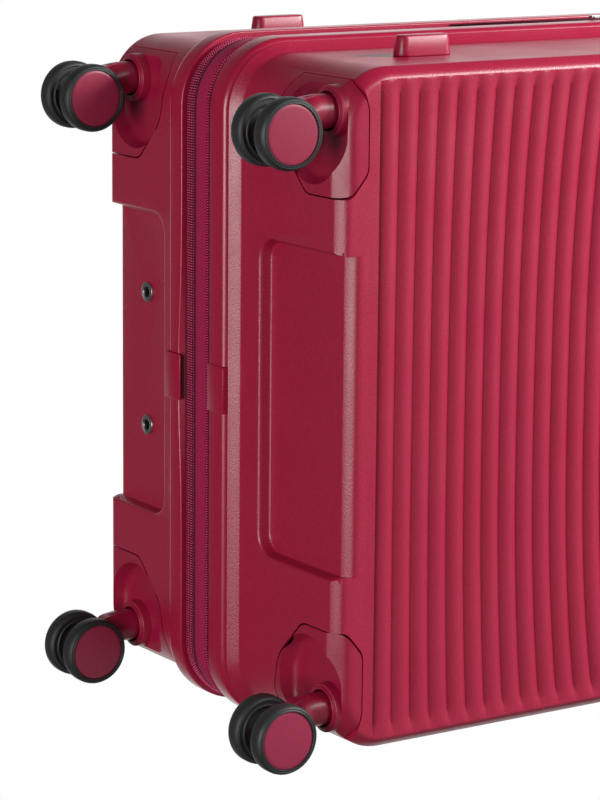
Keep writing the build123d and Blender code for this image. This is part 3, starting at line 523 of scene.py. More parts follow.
def cup(name, panel, edge, flared):
    """The closed shell of one half; panel is +1 for the back half and -1 for the front half."""
    panel_y = box_mm(name.replace("_skin", ""))[0 if panel < 0 else 1][1]
    outside = [ring_at(0, edge)]
    if flared:
        outside += [ring_at(proud, edge - away) for proud, away in ((0, UNDER_RIM), *reversed(FLARE))]
    outside += [ring_at(-inset, panel_y - panel * depth) for inset, depth in PANEL_EDGE[panel]]
    inside = [ring_at(-WALL, edge)]
    inside += [ring_at(-WALL - inset, panel_y - panel * (depth + PANEL_INSIDE))
               for inset, depth in PANEL_EDGE[panel]]
    return loft(name, inside[::-1] + outside)


def rounded_rectangle(x_range, y_range, radius, offset, z, steps=8):
    """A ring in plan whose corners are round, moved outwards by offset."""
    x0, x1 = x_range[0] - offset, x_range[1] + offset
    y0, y1 = y_range[0] - offset, y_range[1] + offset
    turn = max(radius + offset, 0.5)
    ring = rounded([(x0, y0), (x1, y0), (x1, y1), (x0, y1)], [turn] * 4, steps)
    return np.array([(x, y, z) for x, y in ring])


def tub(x_range, y_range, radius, floor_z, depth, lip=3.0, draft=1.2, fillet=2.2):
    """The solid that cuts a trough: flared lip, drafted wall and a rounded inner corner."""
    rings = [(lip + draft, floor_z - 12)]
    rings += [(draft + lip * (1 - math.sin(a)), floor_z + lip * (1 - math.cos(a)))
              for a in np.linspace(0, math.pi / 2, 6)]
    rings += [(-fillet * (1 - math.cos(a)), floor_z + depth - fillet * (1 - math.sin(a)))
              for a in np.linspace(0, math.pi / 2, 6)]
    return loft("tub", [rounded_rectangle(x_range, y_range, radius, offset, z) for offset, z in rings])


def prism(name, outline_points, low, high, axis):
    """A closed prism of 2D points along axis: 0 for X (points are y, z), 1 for Y (x, z), 2 for Z (x, y)."""
    rings = [np.array([np.insert(np.array(p, float), axis, value) for p in outline_points])
             for value in (low, high)]
    return loft(name, rings)


# %% Troughs in the bottom wall
RECESS_HALF = 113.0
RECESS_DEPTH = 9.0
FRONT_RECESS_Y = front_low[1] + 99
BACK_RECESS_Y = back_high[1] - 76


def add_trough(shell, panel, inner_y):
    """Backs the trough with a wall, cuts it, and rounds the edge where it runs out through the panel."""
    panel_y = front_low[1] if panel < 0 else back_high[1]
    ends = sorted((inner_y, panel_y + panel * 25))
    backing_ends = sorted((inner_y - panel * 3, panel_y - panel * 2))
    backing = loft("backing", [
        rounded_rectangle((-RECESS_HALF - 3, RECESS_HALF + 3), backing_ends, 12, 0, z)
        for z in (BOTTOM + 0.5, BOTTOM + RECESS_DEPTH + WALL)])
    boolean(shell, backing, "UNION")
    behind = [(panel_y - panel * y, BOTTOM + z) for y, z in ((2, 4), (22, 4), (22, 14), (8, 27), (2, 27))]
    boolean(shell, prism("behind", behind, -RECESS_HALF - 3, RECESS_HALF + 3, 0), "UNION")
    boolean(shell, tub((-RECESS_HALF, RECESS_HALF), ends, 14, BOTTOM, RECESS_DEPTH), "DIFFERENCE")
    corner = [(panel_y - panel * depth, BOTTOM + RECESS_DEPTH + inset) for inset, depth in PANEL_EDGE[panel]]
    corner += [(panel_y + panel * 9, BOTTOM + RECESS_DEPTH + 13), (panel_y + panel * 9, BOTTOM - 9),
               (panel_y - panel * 13, BOTTOM - 9)]
    boolean(shell, prism("edge", corner, -RECESS_HALF, RECESS_HALF, 0), "DIFFERENCE")


# %% [markdown]
# The front panel's ribs are broad convex bands with sharp valleys between them. They run straight across
# the middle and lift towards both ends, a little more with every rib up the case. The cutter's rows follow
# the bands themselves, so each valley is one clean line of edges.

# %% Ribs as a cutter
RIB_FIRST = 95.5
RIB_PITCH = 15.3
RIB_LIFT = 0.9
RIB_DEPTH = 2.9
RIB_COUNT = 40
RIB_STEPS = 10


def rib_height(count, x):
    """Where valley number count lies along Z at x."""
    return RIB_FIRST + count * (RIB_PITCH + RIB_LIFT * (np.abs(x) / 205) ** 2.6)


def rib_cutter(panel):
    """A block outside the panel whose inner face is the ribbed surface."""
    panel_y = front_low[1] if panel < 0 else back_high[1]
    x = np.linspace(-HALF_WIDTH - 4, HALF_WIDTH + 4, 83)
    fade = np.clip((HALF_WIDTH - 7 - np.abs(x)) / 12, 0, 1)
    fade = fade * fade * (3 - 2 * fade)
    rows = []
    for step in range(-2 * RIB_STEPS, (RIB_COUNT + 2) * RIB_STEPS + 1):
        across = step / RIB_STEPS
        inside = 0 <= across <= RIB_COUNT
        t = across - math.floor(across)
        valley = (2 * t - 1) ** 2 if inside else 0.0
        z = rib_height(across, x)
        rows.append(np.column_stack([x, np.full_like(x, panel_y) - panel * RIB_DEPTH * valley * fade, z]))
    outer = [np.column_stack([x, np.full_like(x, panel_y + panel * 8), rib_height(a, x)])
             for a in (-2, RIB_COUNT + 2)]
    rings = [outer[0], *rows, outer[1]]
    count = len(x)
    points = np.vstack(rings)
    faces = [(r * count + i, r * count + i + 1, (r + 1) * count + i + 1, (r + 1) * count + i)
             for r in range(len(rings) - 1) for i in range(count - 1)]
    last = (len(rings) - 1) * count
    faces += [(i, last + i, last + i + 1, i + 1) for i in range(count - 1)]
    faces += [[r * count for r in range(len(rings))], [r * count + count - 1 for r in range(len(rings))]]
    return solid("ribs", points, faces)


# %% [markdown]
# Each corner of the bottom is cut away for its caster housing. The opening is what two outlines share, one
# drawn from below and one from ahead, as on a toolmaker's drawing. The housing is cut later by the same two
# outlines without the seam, so the pair always fits.


# %% The corner openings
HOUSING_WIDTH, HOUSING_DEPTH, HOUSING_HEIGHT = 88.0, 80.0, 22.5


def flipped(points, side, panel):
    return [(x * -side, y * -panel) for x, y in points]


def corner_space(side, panel, grow):
    """The space of a caster housing: its outline in plan, less what its outline from ahead cuts off."""
    wide, deep, top = HOUSING_WIDTH + grow, HOUSING_DEPTH + grow, BOTTOM + HOUSING_HEIGHT + grow
    left, front = -HALF_WIDTH, front_low[1]
    plan = rounded([(left - 9, front - 9), (left + wide, front - 9), (left + wide, front + deep - 38),
                    (left + wide - 30, front + deep - 8), (left + wide - 64, front + deep),
                    (left + 5, front + deep - 12), (left - 9, front + deep - 20)],
                   [0, 0, 14, 26, 22, 12, 0], 6)
    ahead = rounded([(left - 9, BOTTOM - 19), (left + wide, BOTTOM - 19), (left + wide, top - 14),
                     (left + wide - 17, top), (left + 28, top), (left + 4, top - 7.5),
                     (left - 9, top - 7.5)],
                    [0, 0, 10, 12, 20, 12, 0], 6)
    y_ends = sorted(((front - 9) * -panel, (front + deep + 9) * -panel))
    whole = prism("plan", flipped(plan, side, panel), BOTTOM - 19, top + 2, 2)
    return boolean(whole, prism("ahead", [(x * -side, z) for x, z in ahead], *y_ends, 1), "INTERSECT")


# %% Build both shells
SEAM = 1.0                 # the dark gap round each housing


def build_shell(node, panel, edge, flared, inner_y):
    shell = cup(node + "_skin", panel, edge, flared)
    add_trough(shell, panel, inner_y)
    boolean(shell, rib_cutter(panel), "DIFFERENCE")
    for side in (-1, 1):
        boolean(shell, corner_space(side, panel, SEAM), "DIFFERENCE")
    return shell


front_shell = build_shell("front_shell", -1, front_high[1], True, FRONT_RECESS_Y)
finish_piece(front_shell, "front_case", SHELL, ["front_shell"], sharp=28)
print("front shell triangles:", triangles(front_shell))
back_shell = build_shell("back_shell", 1, back_low[1], False, BACK_RECESS_Y)

# %% [markdown]
# The back shell is also cut where other pieces pass through it. Each cutter takes its place from the box of
# the piece that it is for, so an opening can't end up beside its handle.


# %% Openings for the handles, the rivets and the trolley
HANDLE_LEG = 81            # from the middle of a carry handle to each of its legs
SLOT = (5, 9)              # half of a leg's slot, across and along the handle
RIVET_X, RIVET_HOLE = 51, 5.4
MOUTH, MOUTH_RADIUS = (78.1, 19.1), 11.5
CUT = (-15, 9)             # how far a cutter reaches into the case and out of it


def cut_opening(outline_points, wall, axis):
    ends = (wall + CUT[0], wall + CUT[1])
    boolean(back_shell, prism("opening", outline_points, *ends, axis), "DIFFERENCE")


def slot_outline(centre, half):
    x, y = (centre[0] - half[0], centre[0] + half[0]), (centre[1] - half[1], centre[1] + half[1])
    return rounded([(x[0], y[0]), (x[1], y[0]), (x[1], y[1]), (x[0], y[1])], [1] * 4, 3)


side_handle_y, top_handle_y = box_middle("side_handle", 1), box_middle("top_handle", 1)
for sign in (-1, 1):
    leg = sign * HANDLE_LEG
    cut_opening(slot_outline((side_handle_y, MIDDLE + leg), SLOT), HALF_WIDTH, 0)
    cut_opening(slot_outline((leg, top_handle_y), SLOT[::-1]), back_high[2], 2)
    hole = circle(sign * RIVET_X, box_middle("trolley_rivets", 1), RIVET_HOLE, 24)
    boolean(back_shell, prism("rivet_hole", hole, BOTTOM, BOTTOM + 15, 2), "DIFFERENCE")
bezel_y = box_middle("trolley_bezel", 1)
mouth_y = (bezel_y - MOUTH[1], bezel_y + MOUTH[1])
mouth = rounded_rectangle((-MOUTH[0], MOUTH[0]), mouth_y, MOUTH_RADIUS, 0, 0)
cut_opening(mouth[:, :2], back_high[2], 2)
finish_piece(back_shell, "back_case", SHELL, ["back_shell"], sharp=28)
print("back shell triangles:", triangles(back_shell))

# %% [markdown]
# ## Corner housings
# Each caster bolts into a moulded corner. It is cut from the same rounded body as the shell, a hair smaller
# than its opening so that a dark seam shows, with a bowl scooped towards the middle of the case for the
# wheels to swing over and a double-stepped collar round the stem.


# %% Housing pieces
STEM_X, STEM_Y = np.abs(joint_mm("caster_front_left_swivel"))[:2]
BOWL_CENTRE, BOWL_HALF, BOWL_FLOOR = (200, 119), (40, 35), 12
THROAT_RADIUS, THROAT_TOP = 13.6, 71.3
BORE_RADIUS, BORE_TOP = 4.05, 82.3


def outer_body(panel):
    """The solid outside of one half, without its inner wall."""
    panel_y = front_low[1] if panel < 0 else back_high[1]
    rings = [ring_at(0, -panel * 30)]
    rings += [ring_at(-inset, panel_y - panel * depth) for inset, depth in HOUSING_EDGE[panel]]
    return loft("outer_body", rings)


def bowl(side, panel):
    """The scoop: a long oval that narrows as it deepens and ends in a rounded floor."""
    centre_x, centre_y = BOWL_CENTRE[0] * side, BOWL_CENTRE[1] * panel
    straight = BOWL_HALF[0] - BOWL_HALF[1]
    rings = []
    for inset, depth in ((-1.6, -5), (-0.6, -0.4), (0.2, 0.8), (2.6, 8.0), (4.2, 10.2), (7.0, 11.6),
                         (10, BOWL_FLOOR)):
        radius = BOWL_HALF[1] - inset
        ring = []
        for a in np.linspace(0, math.tau, 64, endpoint=False):
            c, s = math.cos(a), math.sin(a)
            ring.append((centre_x + math.copysign(straight, c) + radius * c, centre_y + radius * s,
                         BOTTOM + depth))
        rings.append(np.array(ring))
    return loft("bowl", rings)


def ellipse(cx, cy, rx, ry, z, count=48):
    """A level ring, as long as 2 rx and as wide as 2 ry."""
    return np.array([(cx + rx * math.cos(a), cy + ry * math.sin(a), z)
                     for a in np.linspace(0, math.tau, count, endpoint=False)])


def turned(name, profile, centre, segments=48, axis="Z"):
    """A closed solid of revolution from (radius, along) points that form a closed loop."""
    rings = []
    for a in np.linspace(0, 2 * math.pi, segments, endpoint=False):
        c, s = math.cos(a), math.sin(a)
        if axis == "Z":
            rings.append(np.array([(centre[0] + r * c, centre[1] + r * s, z) for r, z in profile]))
        else:
            rings.append(np.array([(centre[0] + r * c, y, centre[1] + r * s) for r, y in profile]))
    return loft(name, rings, closed=True)


def collar(side, panel):
    profile = rounded([(13.5, BOTTOM + 13), (13.5, BOTTOM + 3.5), (15.2, BOTTOM + 3.5), (15.4, BOTTOM + 4.8),
                       (17.5, BOTTOM + 5.1), (18.2, BOTTOM + 13)], [0, 0.5, 0.6, 0.3, 0.8, 0], 4)
    return turned("collar", profile, (STEM_X * side, STEM_Y * panel))


def build_housing(side, panel):
    housing = outer_body(panel)
    boolean(housing, corner_space(side, panel, 0), "INTERSECT")
    boolean(housing, bowl(side, panel), "DIFFERENCE")
    x, y = STEM_X * side, STEM_Y * panel
    throat = loft("throat", [ellipse(x, y, radius, radius, z) for radius, z in (
        (THROAT_RADIUS, BOTTOM - 9), (THROAT_RADIUS, THROAT_TOP), (BORE_RADIUS, THROAT_TOP),
        (BORE_RADIUS, BORE_TOP))])
    boolean(housing, collar(side, panel), "UNION")
    boolean(housing, throat, "DIFFERENCE")
    return housing


CORNERS = {"front_left": (-1, -1), "front_right": (1, -1), "back_left": (-1, 1), "back_right": (1, 1)}
for corner, (side, panel) in CORNERS.items():
    housing = build_housing(side, panel)
    housing.name = "corner_" + corner
    finish_piece(housing, body_of_node("housing_" + corner), NYLON, ["housing_" + corner])
print("housing triangles:", triangles(housing))


# %% [markdown]
# ## Casters
# The fork is a thick neck that the two wheels seem to bite into: a cylinder and a web, less the space in
# which the wheels turn. Wheels and caps are turned shapes, so each is a half section carried round its
# axle.

# %% Forks
wheel_low, wheel_high = box_mm("wheel_front_left_a")
WHEEL_RADIUS = (wheel_high[0] - wheel_low[0]) / 2
TRAIL = (joint_mm("wheel_front_left_a_spin") - joint_mm("caster_front_left_swivel"))[0]
WHEEL_INNER = 7.5          # from the middle of the fork to a wheel's inner face
WHEEL_SPACE = (6.8, 21)    # where along the axle the fork leaves room for a wheel
WHEEL_GAP = 1.3            # round the tyre
WEB_HALF = 4.9


def build_fork(side, panel):
    x, y = STEM_X * side, STEM_Y * panel
    axle_x = x + TRAIL
    neck = loft("fork", [ellipse(x, y, 12, 12, 70.8), ellipse(x, y, 12, 12, 54),
                         ellipse(x + 1, y, 12, 12, 47), ellipse(x + 4, y, 11.5, 11, 40)])
    web = rounded([(x - 11.5, 55), (x - 9.5, 42), (axle_x - 9, 22), (axle_x, 16.2), (axle_x + 9, 22),
                   (axle_x + 9, 31), (x + 11.5, 55)], [2, 12, 6, 5, 6, 8, 2], 5)
    boolean(neck, prism("web", web, y - WEB_HALF, y + WEB_HALF, 1), "UNION")
    for wheel_side in (-1, 1):
        ends = sorted(y + wheel_side * along for along in WHEEL_SPACE)
        space = circle(axle_x, WHEEL_RADIUS, WHEEL_RADIUS + WHEEL_GAP, 64)
        boolean(neck, prism("space", space, *ends, 1), "DIFFERENCE")
    for name, radius, half in (("boss", 7.0, 7.2), ("axle", 2.95, 17.8)):
        outline = circle(axle_x, WHEEL_RADIUS, radius, 40)
        boolean(neck, prism(name, outline, y - half, y + half, 1), "UNION")
    pin = loft("pin", [ellipse(x, y, radius, radius, z)
                       for radius, z in ((3.9, 69), (3.9, 81.5), (3.2, 82))])
    return boolean(neck, pin, "UNION")


for corner, (side, panel) in CORNERS.items():
    fork = build_fork(side, panel)
    fork.name = "caster_fork_" + corner
    finish_piece(fork, "caster_" + corner, NYLON, ["fork_" + corner], sharp=30)
print("fork triangles:", triangles(fork))

# %% Wheels and caps
# Half sections as (radius, distance from the inner face).
TYRE_SECTION = [(4.2, 0.6), (7.0, 0.0), (7.2, 3.0), (16.2, 3.2), (17.2, 0.9), (18.4, 0.3), (19.2, 1.0),
                (21.2, 1.0), (22.0, 0.1), (23.0, 0.4), (24.1, 1.4), (24.8, 2.9), (25.0, 4.6), (25.0, 9.2),
                (24.7, 10.9), (24.0, 12.3), (23.1, 13.1), (22.6, 13.2), (22.3, 12.9), (21.7, 13.4),
                (21.0, 13.5), (20.85, 13.3), (20.8, 11.0), (3.2, 10.6), (3.2, 0.9)]
CAP_SECTION = [(0.01, 13.5), (6, 13.46), (12, 13.2), (18, 12.85), (20.1, 12.7), (20.6, 12.4), (20.65, 11.9),
               (20.6, 11.1), (0.01, 11.1)]


def build_wheel(name, section, side, panel, wheel_side):
    x, y = STEM_X * side + TRAIL, STEM_Y * panel
    profile = [(r, y + wheel_side * (WHEEL_INNER + along)) for r, along in section]
    return turned(name, profile, (x, WHEEL_RADIUS), segments=72, axis="Y")


for corner, (side, panel) in CORNERS.items():
    for letter, wheel_side in (("a", -1), ("b", 1)):
        body = f"wheel_{corner}_{letter}"
        tyre = build_wheel(f"tyre_{corner}_{letter}", TYRE_SECTION, side, panel, wheel_side)
        finish_piece(tyre, body, TYRE, [body], sharp=30)
        cap = build_wheel(f"wheel_cover_{corner}_{letter}", CAP_SECTION, side, panel, wheel_side)
        finish_piece(cap, body, CAP, [f"cap_{corner}_{letter}"], sharp=30)
print("wheel triangles:", triangles(tyre), triangles(cap))

# %% [markdown]
# ## Band and zips
# Between the rims lie two coil zips and a woven band. Every zip is a flat tape with a sewn coil, so the
# tapes are swept. The coils and stitches are the same small bead thousands of times, so they come from one
# Geometry Nodes tree: the outline as a curve, resampled at the pitch, with a bead on every point. A real
# coil has a turn every 1.3 mm or so, which is too fine to show, so the beads are drawn 1.9 mm apart.

# %% Tapes and band
band_low, band_high = box_mm("zip_band")
MAIN_Y, EXPANSION_Y = band_high[1] + 0.2, band_low[1] - 0.2
TAPE_PROUD = 5.6
TAPE_THICK = 0.9
TAPE_UNDER_RIM = 1.5       # how far each tape runs in under its rim
TAPE_GAP = 0.15            # from a zip's middle to the edge of each of its tapes
BAND_EDGE = (8.0, 21.0)
BAND_PROUD, BAND_THICK, BAND_CROWN = 6.2, 1.8, 0.6


def tape(name, low_y, high_y, proud, thick, body, slot, material, nodes=(), crown=0.0):
    """A flat cloth strip round the case, a little crowned between its edges."""
    ys = np.linspace(low_y, high_y, 7)
    top = [(proud + crown * (1 - ((y - ys[0]) / (ys[-1] - ys[0]) * 2 - 1) ** 2), y) for y in ys]
    under = [(proud - thick, y) for y in ys[::-1]]
    made = sweep(name, top + under)
    return finish_piece(made, body, material, nodes)


# The zip tapes' finish carries painted shade between the coil beads.
tape("main_zip_tape_back", MAIN_Y + TAPE_GAP, BACK_RIM[0] + TAPE_UNDER_RIM, TAPE_PROUD, TAPE_THICK,
     "back_case", "zip_cloth", TAPE_PAINTED_SHADE, ["main_zip_back"])
tape("main_zip_tape_band", BAND_EDGE[1], MAIN_Y - TAPE_GAP, TAPE_PROUD, TAPE_THICK,
     "middle_band", "zip_cloth", TAPE_PAINTED_SHADE)
tape("woven_band", *BAND_EDGE, BAND_PROUD, BAND_THICK, "middle_band", "zip_cloth", TWILL, ["zip_band"],
     crown=BAND_CROWN)
tape("expansion_zip_tape_band", EXPANSION_Y + TAPE_GAP, BAND_EDGE[0], TAPE_PROUD, TAPE_THICK,
     "middle_band", "zip_cloth", TAPE_PAINTED_SHADE)
tape("expansion_zip_tape_front", FRONT_RIM[1] - TAPE_UNDER_RIM, EXPANSION_Y - TAPE_GAP, TAPE_PROUD,
     TAPE_THICK, "front_case", "zip_cloth", TAPE_PAINTED_SHADE, ["expansion_zip_front"])


def piping(name, y, proud, radius, body, material):
    """A thin rolled edge of cloth."""
    return finish_piece(sweep(name, circle(proud, y, radius, 8)), body, material)


piping("band_fold", 7.4, 6.1, 0.95, "middle_band", TWILL)
print("zips at y:", round(MAIN_Y, 1), round(EXPANSION_Y, 1), "band between:", BAND_EDGE)


# %% A row of beads along the outline, by Geometry Nodes
def bead_tree():
    """Inputs: pitch along the path, bead length, width and height; the beads lie along the path."""
    tree = bpy.data.node_groups.new("bead_row", "GeometryNodeTree")
    face = tree.interface
    face.new_socket("Geometry", in_out="INPUT", socket_type="NodeSocketGeometry")
    pitch = face.new_socket("Pitch", in_out="INPUT", socket_type="NodeSocketFloat")
    pitch.default_value = 1.5 * MM
    size = face.new_socket("Size", in_out="INPUT", socket_type="NodeSocketVector")
    size.default_value = (0.5 * MM, 1.2 * MM, 0.5 * MM)
    face.new_socket("Finish", in_out="INPUT", socket_type="NodeSocketMaterial")
    face.new_socket("Geometry", in_out="OUTPUT", socket_type="NodeSocketGeometry")
    given = add(tree, "NodeGroupInput")
    path = add(tree, "GeometryNodeMeshToCurve", links={"Mesh": given.outputs["Geometry"]})
    spaced = add(tree, "GeometryNodeResampleCurve", links={"Curve": path.outputs["Curve"]}, mode="LENGTH")
    tree.links.new(given.outputs["Pitch"], spaced.inputs["Length"])
    bead = add(tree, "GeometryNodeMeshUVSphere", {"Segments": 6, "Rings": 4, "Radius": 1.0})
    tangent = add(tree, "GeometryNodeInputTangent")
    turn = add(tree, "FunctionNodeAlignEulerToVector", links={"Vector": tangent.outputs["Tangent"]},
               axis="X")
    upright = add(tree, "FunctionNodeAlignEulerToVector", {"Vector": (0, 1, 0)},
                  {"Rotation": turn.outputs["Rotation"]}, axis="Y", pivot_axis="X")
    rows = add(tree, "GeometryNodeInstanceOnPoints", links={
        "Points": spaced.outputs["Curve"], "Instance": bead.outputs["Mesh"],
        "Rotation": upright.outputs["Rotation"], "Scale": given.outputs["Size"]})
    real = add(tree, "GeometryNodeRealizeInstances", links={"Geometry": rows.outputs["Instances"]})
    smooth = add(tree, "GeometryNodeSetShadeSmooth", links={"Geometry": real.outputs["Geometry"]})
    painted = add(tree, "GeometryNodeSetMaterial", links={
        "Geometry": smooth.outputs["Geometry"], "Material": given.outputs["Finish"]})
    add(tree, "NodeGroupOutput", links={"Geometry": painted.outputs["Geometry"]})
    return tree


BEADS = bead_tree()
FINE_CASE = stations(straight=400.0, arc_steps=24)


def set_input(modifier, name, value):
    socket = next(s for s in modifier.node_group.interface.items_tree
                  if s.name == name and getattr(s, "in_out", "") == "INPUT")
    modifier[socket.identifier] = value


def path_round_case(name, proud, y):
    points = ring_at(proud, y, FINE_CASE) * MM
    mesh = bpy.data.meshes.new(name)
    count = len(points)
    mesh.from_pydata(points.tolist(), [(i, (i + 1) % count) for i in range(count)], [])
    return new_object(name, mesh)


def bead_row(name, proud, y, pitch, size, body, material):
    """One row of beads round the case; size is along the path, along Y and outwards."""
    row = path_round_case(name, proud, y)
    step = row.modifiers.new("beads", "NODES")
    step.node_group = BEADS
    set_input(step, "Pitch", pitch * MM)
    set_input(step, "Size", tuple(v * MM for v in size))
    set_input(step, "Finish", material)
    applied(row)
    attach(row, body)
    return row


# %% Coils and stitches
BEAD_PITCH = 1.9
BEAD_PROUD = TAPE_PROUD + 0.5
ROWS = [
    ("main_coil_back", MAIN_Y + 1.7, "back_case", (0.55, 1.2, 1.1)),
    ("main_coil_band", MAIN_Y - 1.7, "middle_band", (0.55, 1.2, 1.1)),
    ("expansion_coil_band", EXPANSION_Y + 2.8, "middle_band", (0.55, 0.9, 1.2)),
    ("expansion_coil_front", EXPANSION_Y - 1.25, "front_case", (0.5, 1.2, 0.7)),
    ("main_stitch_back", MAIN_Y + 4.3, "back_case", (0.6, 0.35, 0.3)),
    ("main_stitch_band", MAIN_Y - 4.3, "middle_band", (0.6, 0.35, 0.3)),
]
# Coils and stitches take the coil finish, whose lighter pink is a painted highlight on the case's red.
for name, y, body, size in ROWS:
    row = bead_row(name, BEAD_PROUD, y, BEAD_PITCH, size, body, COIL_PAINTED_HIGHLIGHT)
print("triangles in one row:", triangles(row))


# %% [markdown]
# ## Pieces whose CAD shape is already right
# Small mouldings keep their CAD form, but a real mould has no knife edges. Each is copied, its loose
# triangles are merged, flat areas are joined, and a small bevel rounds every edge so that it catches light.
# Modelling them again by hand could drift from the CAD, and a copy can't.

# %% Softened copies
def softened(node, radius, material):
    """A copy of a CAD node with rounded edges, which then stands for it."""
    mesh = frame["nodes"][node].data.copy()
    work = bmesh.new()
    work.from_mesh(mesh)
    bmesh.ops.remove_doubles(work, verts=work.verts, dist=2e-6)
    bmesh.ops.dissolve_limit(work, angle_limit=math.radians(1.0), verts=work.verts, edges=work.edges)
    work.to_mesh(mesh)
    work.free()
    made = new_object(node + "_moulding", mesh)
    bevel = made.modifiers.new("bevel", "BEVEL")
    bevel.width = radius * MM
    bevel.segments = 2
    bevel.limit_method = "ANGLE"
    bevel.angle_limit = math.radians(30)
    applied(made)
    return finish_piece(made, body_of_node(node), material, [node], sharp=40)


SOFTENED = [
    ("back_rim_joiner", 0.3, RIM, "rim_profile"), ("front_rim_joiner", 0.3, RIM, "rim_profile"),
    ("back_feet", 1.2, NYLON, "caster_moulding"), ("front_feet", 1.2, NYLON, "caster_moulding"),
    ("trolley_bezel", 0.6, NYLON, "handle_moulding"), ("trolley_grip", 2.5, NYLON, "handle_moulding"),
    ("trolley_button", 0.8, BLACK, "handle_moulding"), ("handle_plates", 0.8, NYLON, "handle_moulding"),
    ("top_handle", 2.0, NYLON, "handle_moulding"), ("side_handle", 2.0, NYLON, "handle_moulding"),
    ("lock_case", 0.8, BLACK, "lock_moulding"), ("lock_button", 0.5, BLACK, "lock_moulding"),
    ("main_zip_sliders", 0.5, METAL, "zinc_metal"), ("main_pull_lower", 0.35, METAL, "zinc_metal"),
    ("main_pull_upper", 0.35, METAL, "zinc_metal"), ("expansion_pull", 0.35, METAL, "zinc_metal"),
    ("trolley_rivets", 0.35, METAL, "zinc_metal"),
    ("lock_dial_1", 0.3, BLACK, "dial"), ("lock_dial_2", 0.3, BLACK, "dial"),
    ("lock_dial_3", 0.3, BLACK, "dial"),
]
for node, radius, material, slot in SOFTENED:
    softened(node, radius, material)
print("softened mouldings:", len(SOFTENED))


# %% [markdown]
# The trolley tubes are drawn aluminium with square ends, so their CAD meshes are right as they stand and
# only get a finish. The linings and straps are cloth, so they are softened copies with a UV map for the
# weave.


# %% Nodes that keep their CAD mesh
def painted_node(node, material):
    """A CAD node that is shown as it is, with its own finish."""
    kept = frame["nodes"][node]
    kept.data.materials.clear()
    kept.data.materials.append(material)
    for polygon in kept.data.polygons:
        polygon.material_index = 0


for node in ("trolley_frame", "trolley_middle_tubes", "trolley_top_tubes"):
    painted_node(node, TUBE)


# %% Cloth that keeps the CAD solids' outline
def cloth_copy(node, material, radius=0.4):
    """A merged copy of a cloth solid with a UV map laid flat on each face's own direction."""
    made = softened(node, radius, material)
    uv = made.data.uv_layers.get("UVMap") or made.data.uv_layers.new(name="UVMap")
    for polygon in made.data.polygons:
        keep = [i for i in range(3) if i != int(np.argmax(np.abs(polygon.normal)))]
        for loop in polygon.loop_indices:
            place = made.data.vertices[made.data.loops[loop].vertex_index].co
            uv.data[loop].uv = (place[keep[0]], place[keep[1]])
    return made


CLOTHS = [("back_lining", LINING), ("front_lining", LINING), ("packing_straps", WEBBING)]
for node, material in CLOTHS:
    cloth_copy(node, material)
print("cloth copies:", len(CLOTHS))


# %% [markdown]
# ## Cloth across a joint
# The hinge tape joins the back half to the band, and the gusset joins the band to the front half. Both are
# plain strips in their CAD place that stand for their CAD nodes; neither follows a body.

# %% Hinge tape and gusset
def across_joint(node, material):
    low, high = box_mm(node)
    if node == "hinge_tape":
        made = solid(node + "_cloth", *strip_grid(low, high))
    else:
        made = sweep(node + "_cloth", [(3.6, y) for y in np.linspace(low[1], high[1], 9)] +
                     [(2.6, y) for y in np.linspace(high[1], low[1], 9)])
    flat_uv(made)
    made.data.materials.append(material)
    made.data.shade_smooth()
    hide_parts(node)
    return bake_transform(made)


def strip_grid(low, high):
    """A thin strip in Y and Z with enough rows across to bend."""
    ys, zs = np.linspace(low[1], high[1], 13), (low[2], high[2])
    loop = [(low[0], y) for y in ys] + [(high[0], y) for y in ys[::-1]]
    count = len(loop)
    points = [(x, y, z) for z in zs for x, y in loop]
    faces = [(i, (i + 1) % count, count + (i + 1) % count, count + i) for i in range(count)]
    half = len(ys)
    for z in (0, count):
        faces += [(z + i, z + i + 1, z + count - 2 - i, z + count - 1 - i) for i in range(half - 1)]
    return points, faces


def flat_uv(made):
    uv = made.data.uv_layers.get("UVMap") or made.data.uv_layers.new(name="UVMap")
    for loop in made.data.loops:
        place = made.data.vertices[loop.vertex_index].co
        uv.data[loop.index].uv = (place[2] + place[0], place[1])


across_joint("hinge_tape", TAPE_PAINTED_SHADE)
across_joint("expansion_gusset", LINING)

# %% [markdown]
# ## Floor, light and camera
# The camera looks up at the underside of a case that is lying back, so in the case's own frame it stands
# below the floor. The floor is therefore clear from below and throws no shadow. The world is white to the
# eye, and for light it is a room with one bright wall, because a plain white room washes the ribs out.

# %% Studio
def studio_floor():
    mesh = bpy.data.meshes.new("floor")
    reach = 6.0
    mesh.from_pydata([(-reach, -reach, 0), (reach, -reach, 0), (reach, reach, 0), (-reach, reach, 0)], [],
                     [(0, 1, 2, 3)])
    floor = new_object("floor", mesh)
    material, tree, shader = start_material("pale_floor", "#f2f1ef", 0.7)
    place = add(tree, "ShaderNodeNewGeometry")
    clear = add(tree, "ShaderNodeBsdfTransparent")
    output = next(n for n in tree.nodes if n.type == "OUTPUT_MATERIAL")
    mix = add(tree, "ShaderNodeMixShader", links={0: place.outputs["Backfacing"], 1: shader.outputs["BSDF"],
                                                  2: clear.outputs["BSDF"]})
    tree.links.new(mix.outputs["Shader"], output.inputs["Surface"])
    mesh.materials.append(material)
    floor.visible_shadow = False
    floor.visible_diffuse = False
    floor.visible_glossy = False


def soft_box(name, place, target, size, power, colour="#ffffff"):
    """A square area light that looks at its target."""
    light = bpy.data.lights.new(name, "AREA")
    light.size = size
    light.energy = power
    light.color = linear(colour)[:3]
    made = new_object(name, light)
    made.location = place
    made.rotation_euler = (Vector(target) - Vector(place)).to_track_quat("-Z", "Y").to_euler()
    return made


studio_floor()
world = bpy.data.worlds.new("studio")
bpy.context.scene.world = world
world.use_nodes = True
AHEAD = Vector((0.19653, 0.81684, 0.54236))    # the way the camera looks


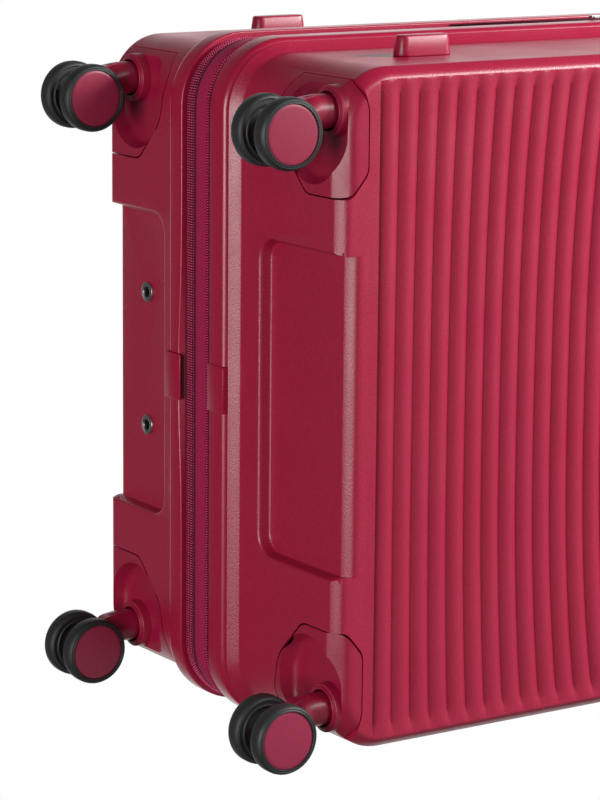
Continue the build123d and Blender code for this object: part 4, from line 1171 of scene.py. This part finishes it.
def light_studio(tree):
    """White to the eye; for light, a bright wall beyond the case, a haze before it, and a dim room."""
    place = add(tree, "ShaderNodeTexCoord")

    def glow(direction, spread, strength):
        """Light from one direction: spread and strength are (edge, middle)."""
        facing = add(tree, "ShaderNodeVectorMath", {1: direction}, {0: place.outputs["Generated"]},
                     operation="DOT_PRODUCT")
        return add(tree, "ShaderNodeMapRange", {"From Min": spread[0], "From Max": spread[1],
                                                "To Min": strength[0], "To Max": strength[1]},
                   {"Value": facing.outputs["Value"]}, interpolation_type="SMOOTHSTEP")

    wall = glow(AHEAD, (0.58, 0.97), (0.1, 1.3))
    haze = glow((0.15, -0.83, 0.53), (0.2, 0.95), (0.0, 0.26))
    both = add(tree, "ShaderNodeMath", links={0: wall.outputs["Result"], 1: haze.outputs["Result"]})
    path = add(tree, "ShaderNodeLightPath")
    seen = add(tree, "ShaderNodeMix", {"B": 1.0}, {"Factor": path.outputs["Is Camera Ray"],
                                                   "A": both.outputs["Value"]})
    tree.links.new(seen.outputs["Result"], tree.nodes["Background"].inputs["Strength"])
    tree.nodes["Background"].inputs["Color"].default_value = (1, 1, 1, 1)


light_studio(world.node_tree)
CASE_MIDDLE = (0, 0, 0.3)
soft_box("key", (-1.0, -0.95, 1.75), CASE_MIDDLE, 0.4, 58)
soft_box("sheen", (-0.9, -1.3, 1.0), (-0.2, 0, 0.3), 0.35, 9)
soft_box("low_fill", (-0.15, -1.1, -2.35), CASE_MIDDLE, 1.3, 50)
bpy.context.scene.view_settings.view_transform = "Standard"

# %% Camera
camera_data = bpy.data.cameras.new("camera")
camera_data.lens = 144
camera_data.sensor_width = 36
camera_data.clip_end = 50
camera = new_object("camera", camera_data)
DOWN = Vector((0.98046, -0.16860, -0.10134))
CAMERA_PLACE = Vector((-0.4454, -1.9303, -1.1483))
turn = Matrix((DOWN.cross(AHEAD), -DOWN, -AHEAD)).transposed().to_4x4()
camera.matrix_world = Matrix.Translation(CAMERA_PLACE) @ turn
bpy.context.scene.camera = camera
print("camera metres from the case:", round((CAMERA_PLACE - Vector(CASE_MIDDLE)).length, 2))
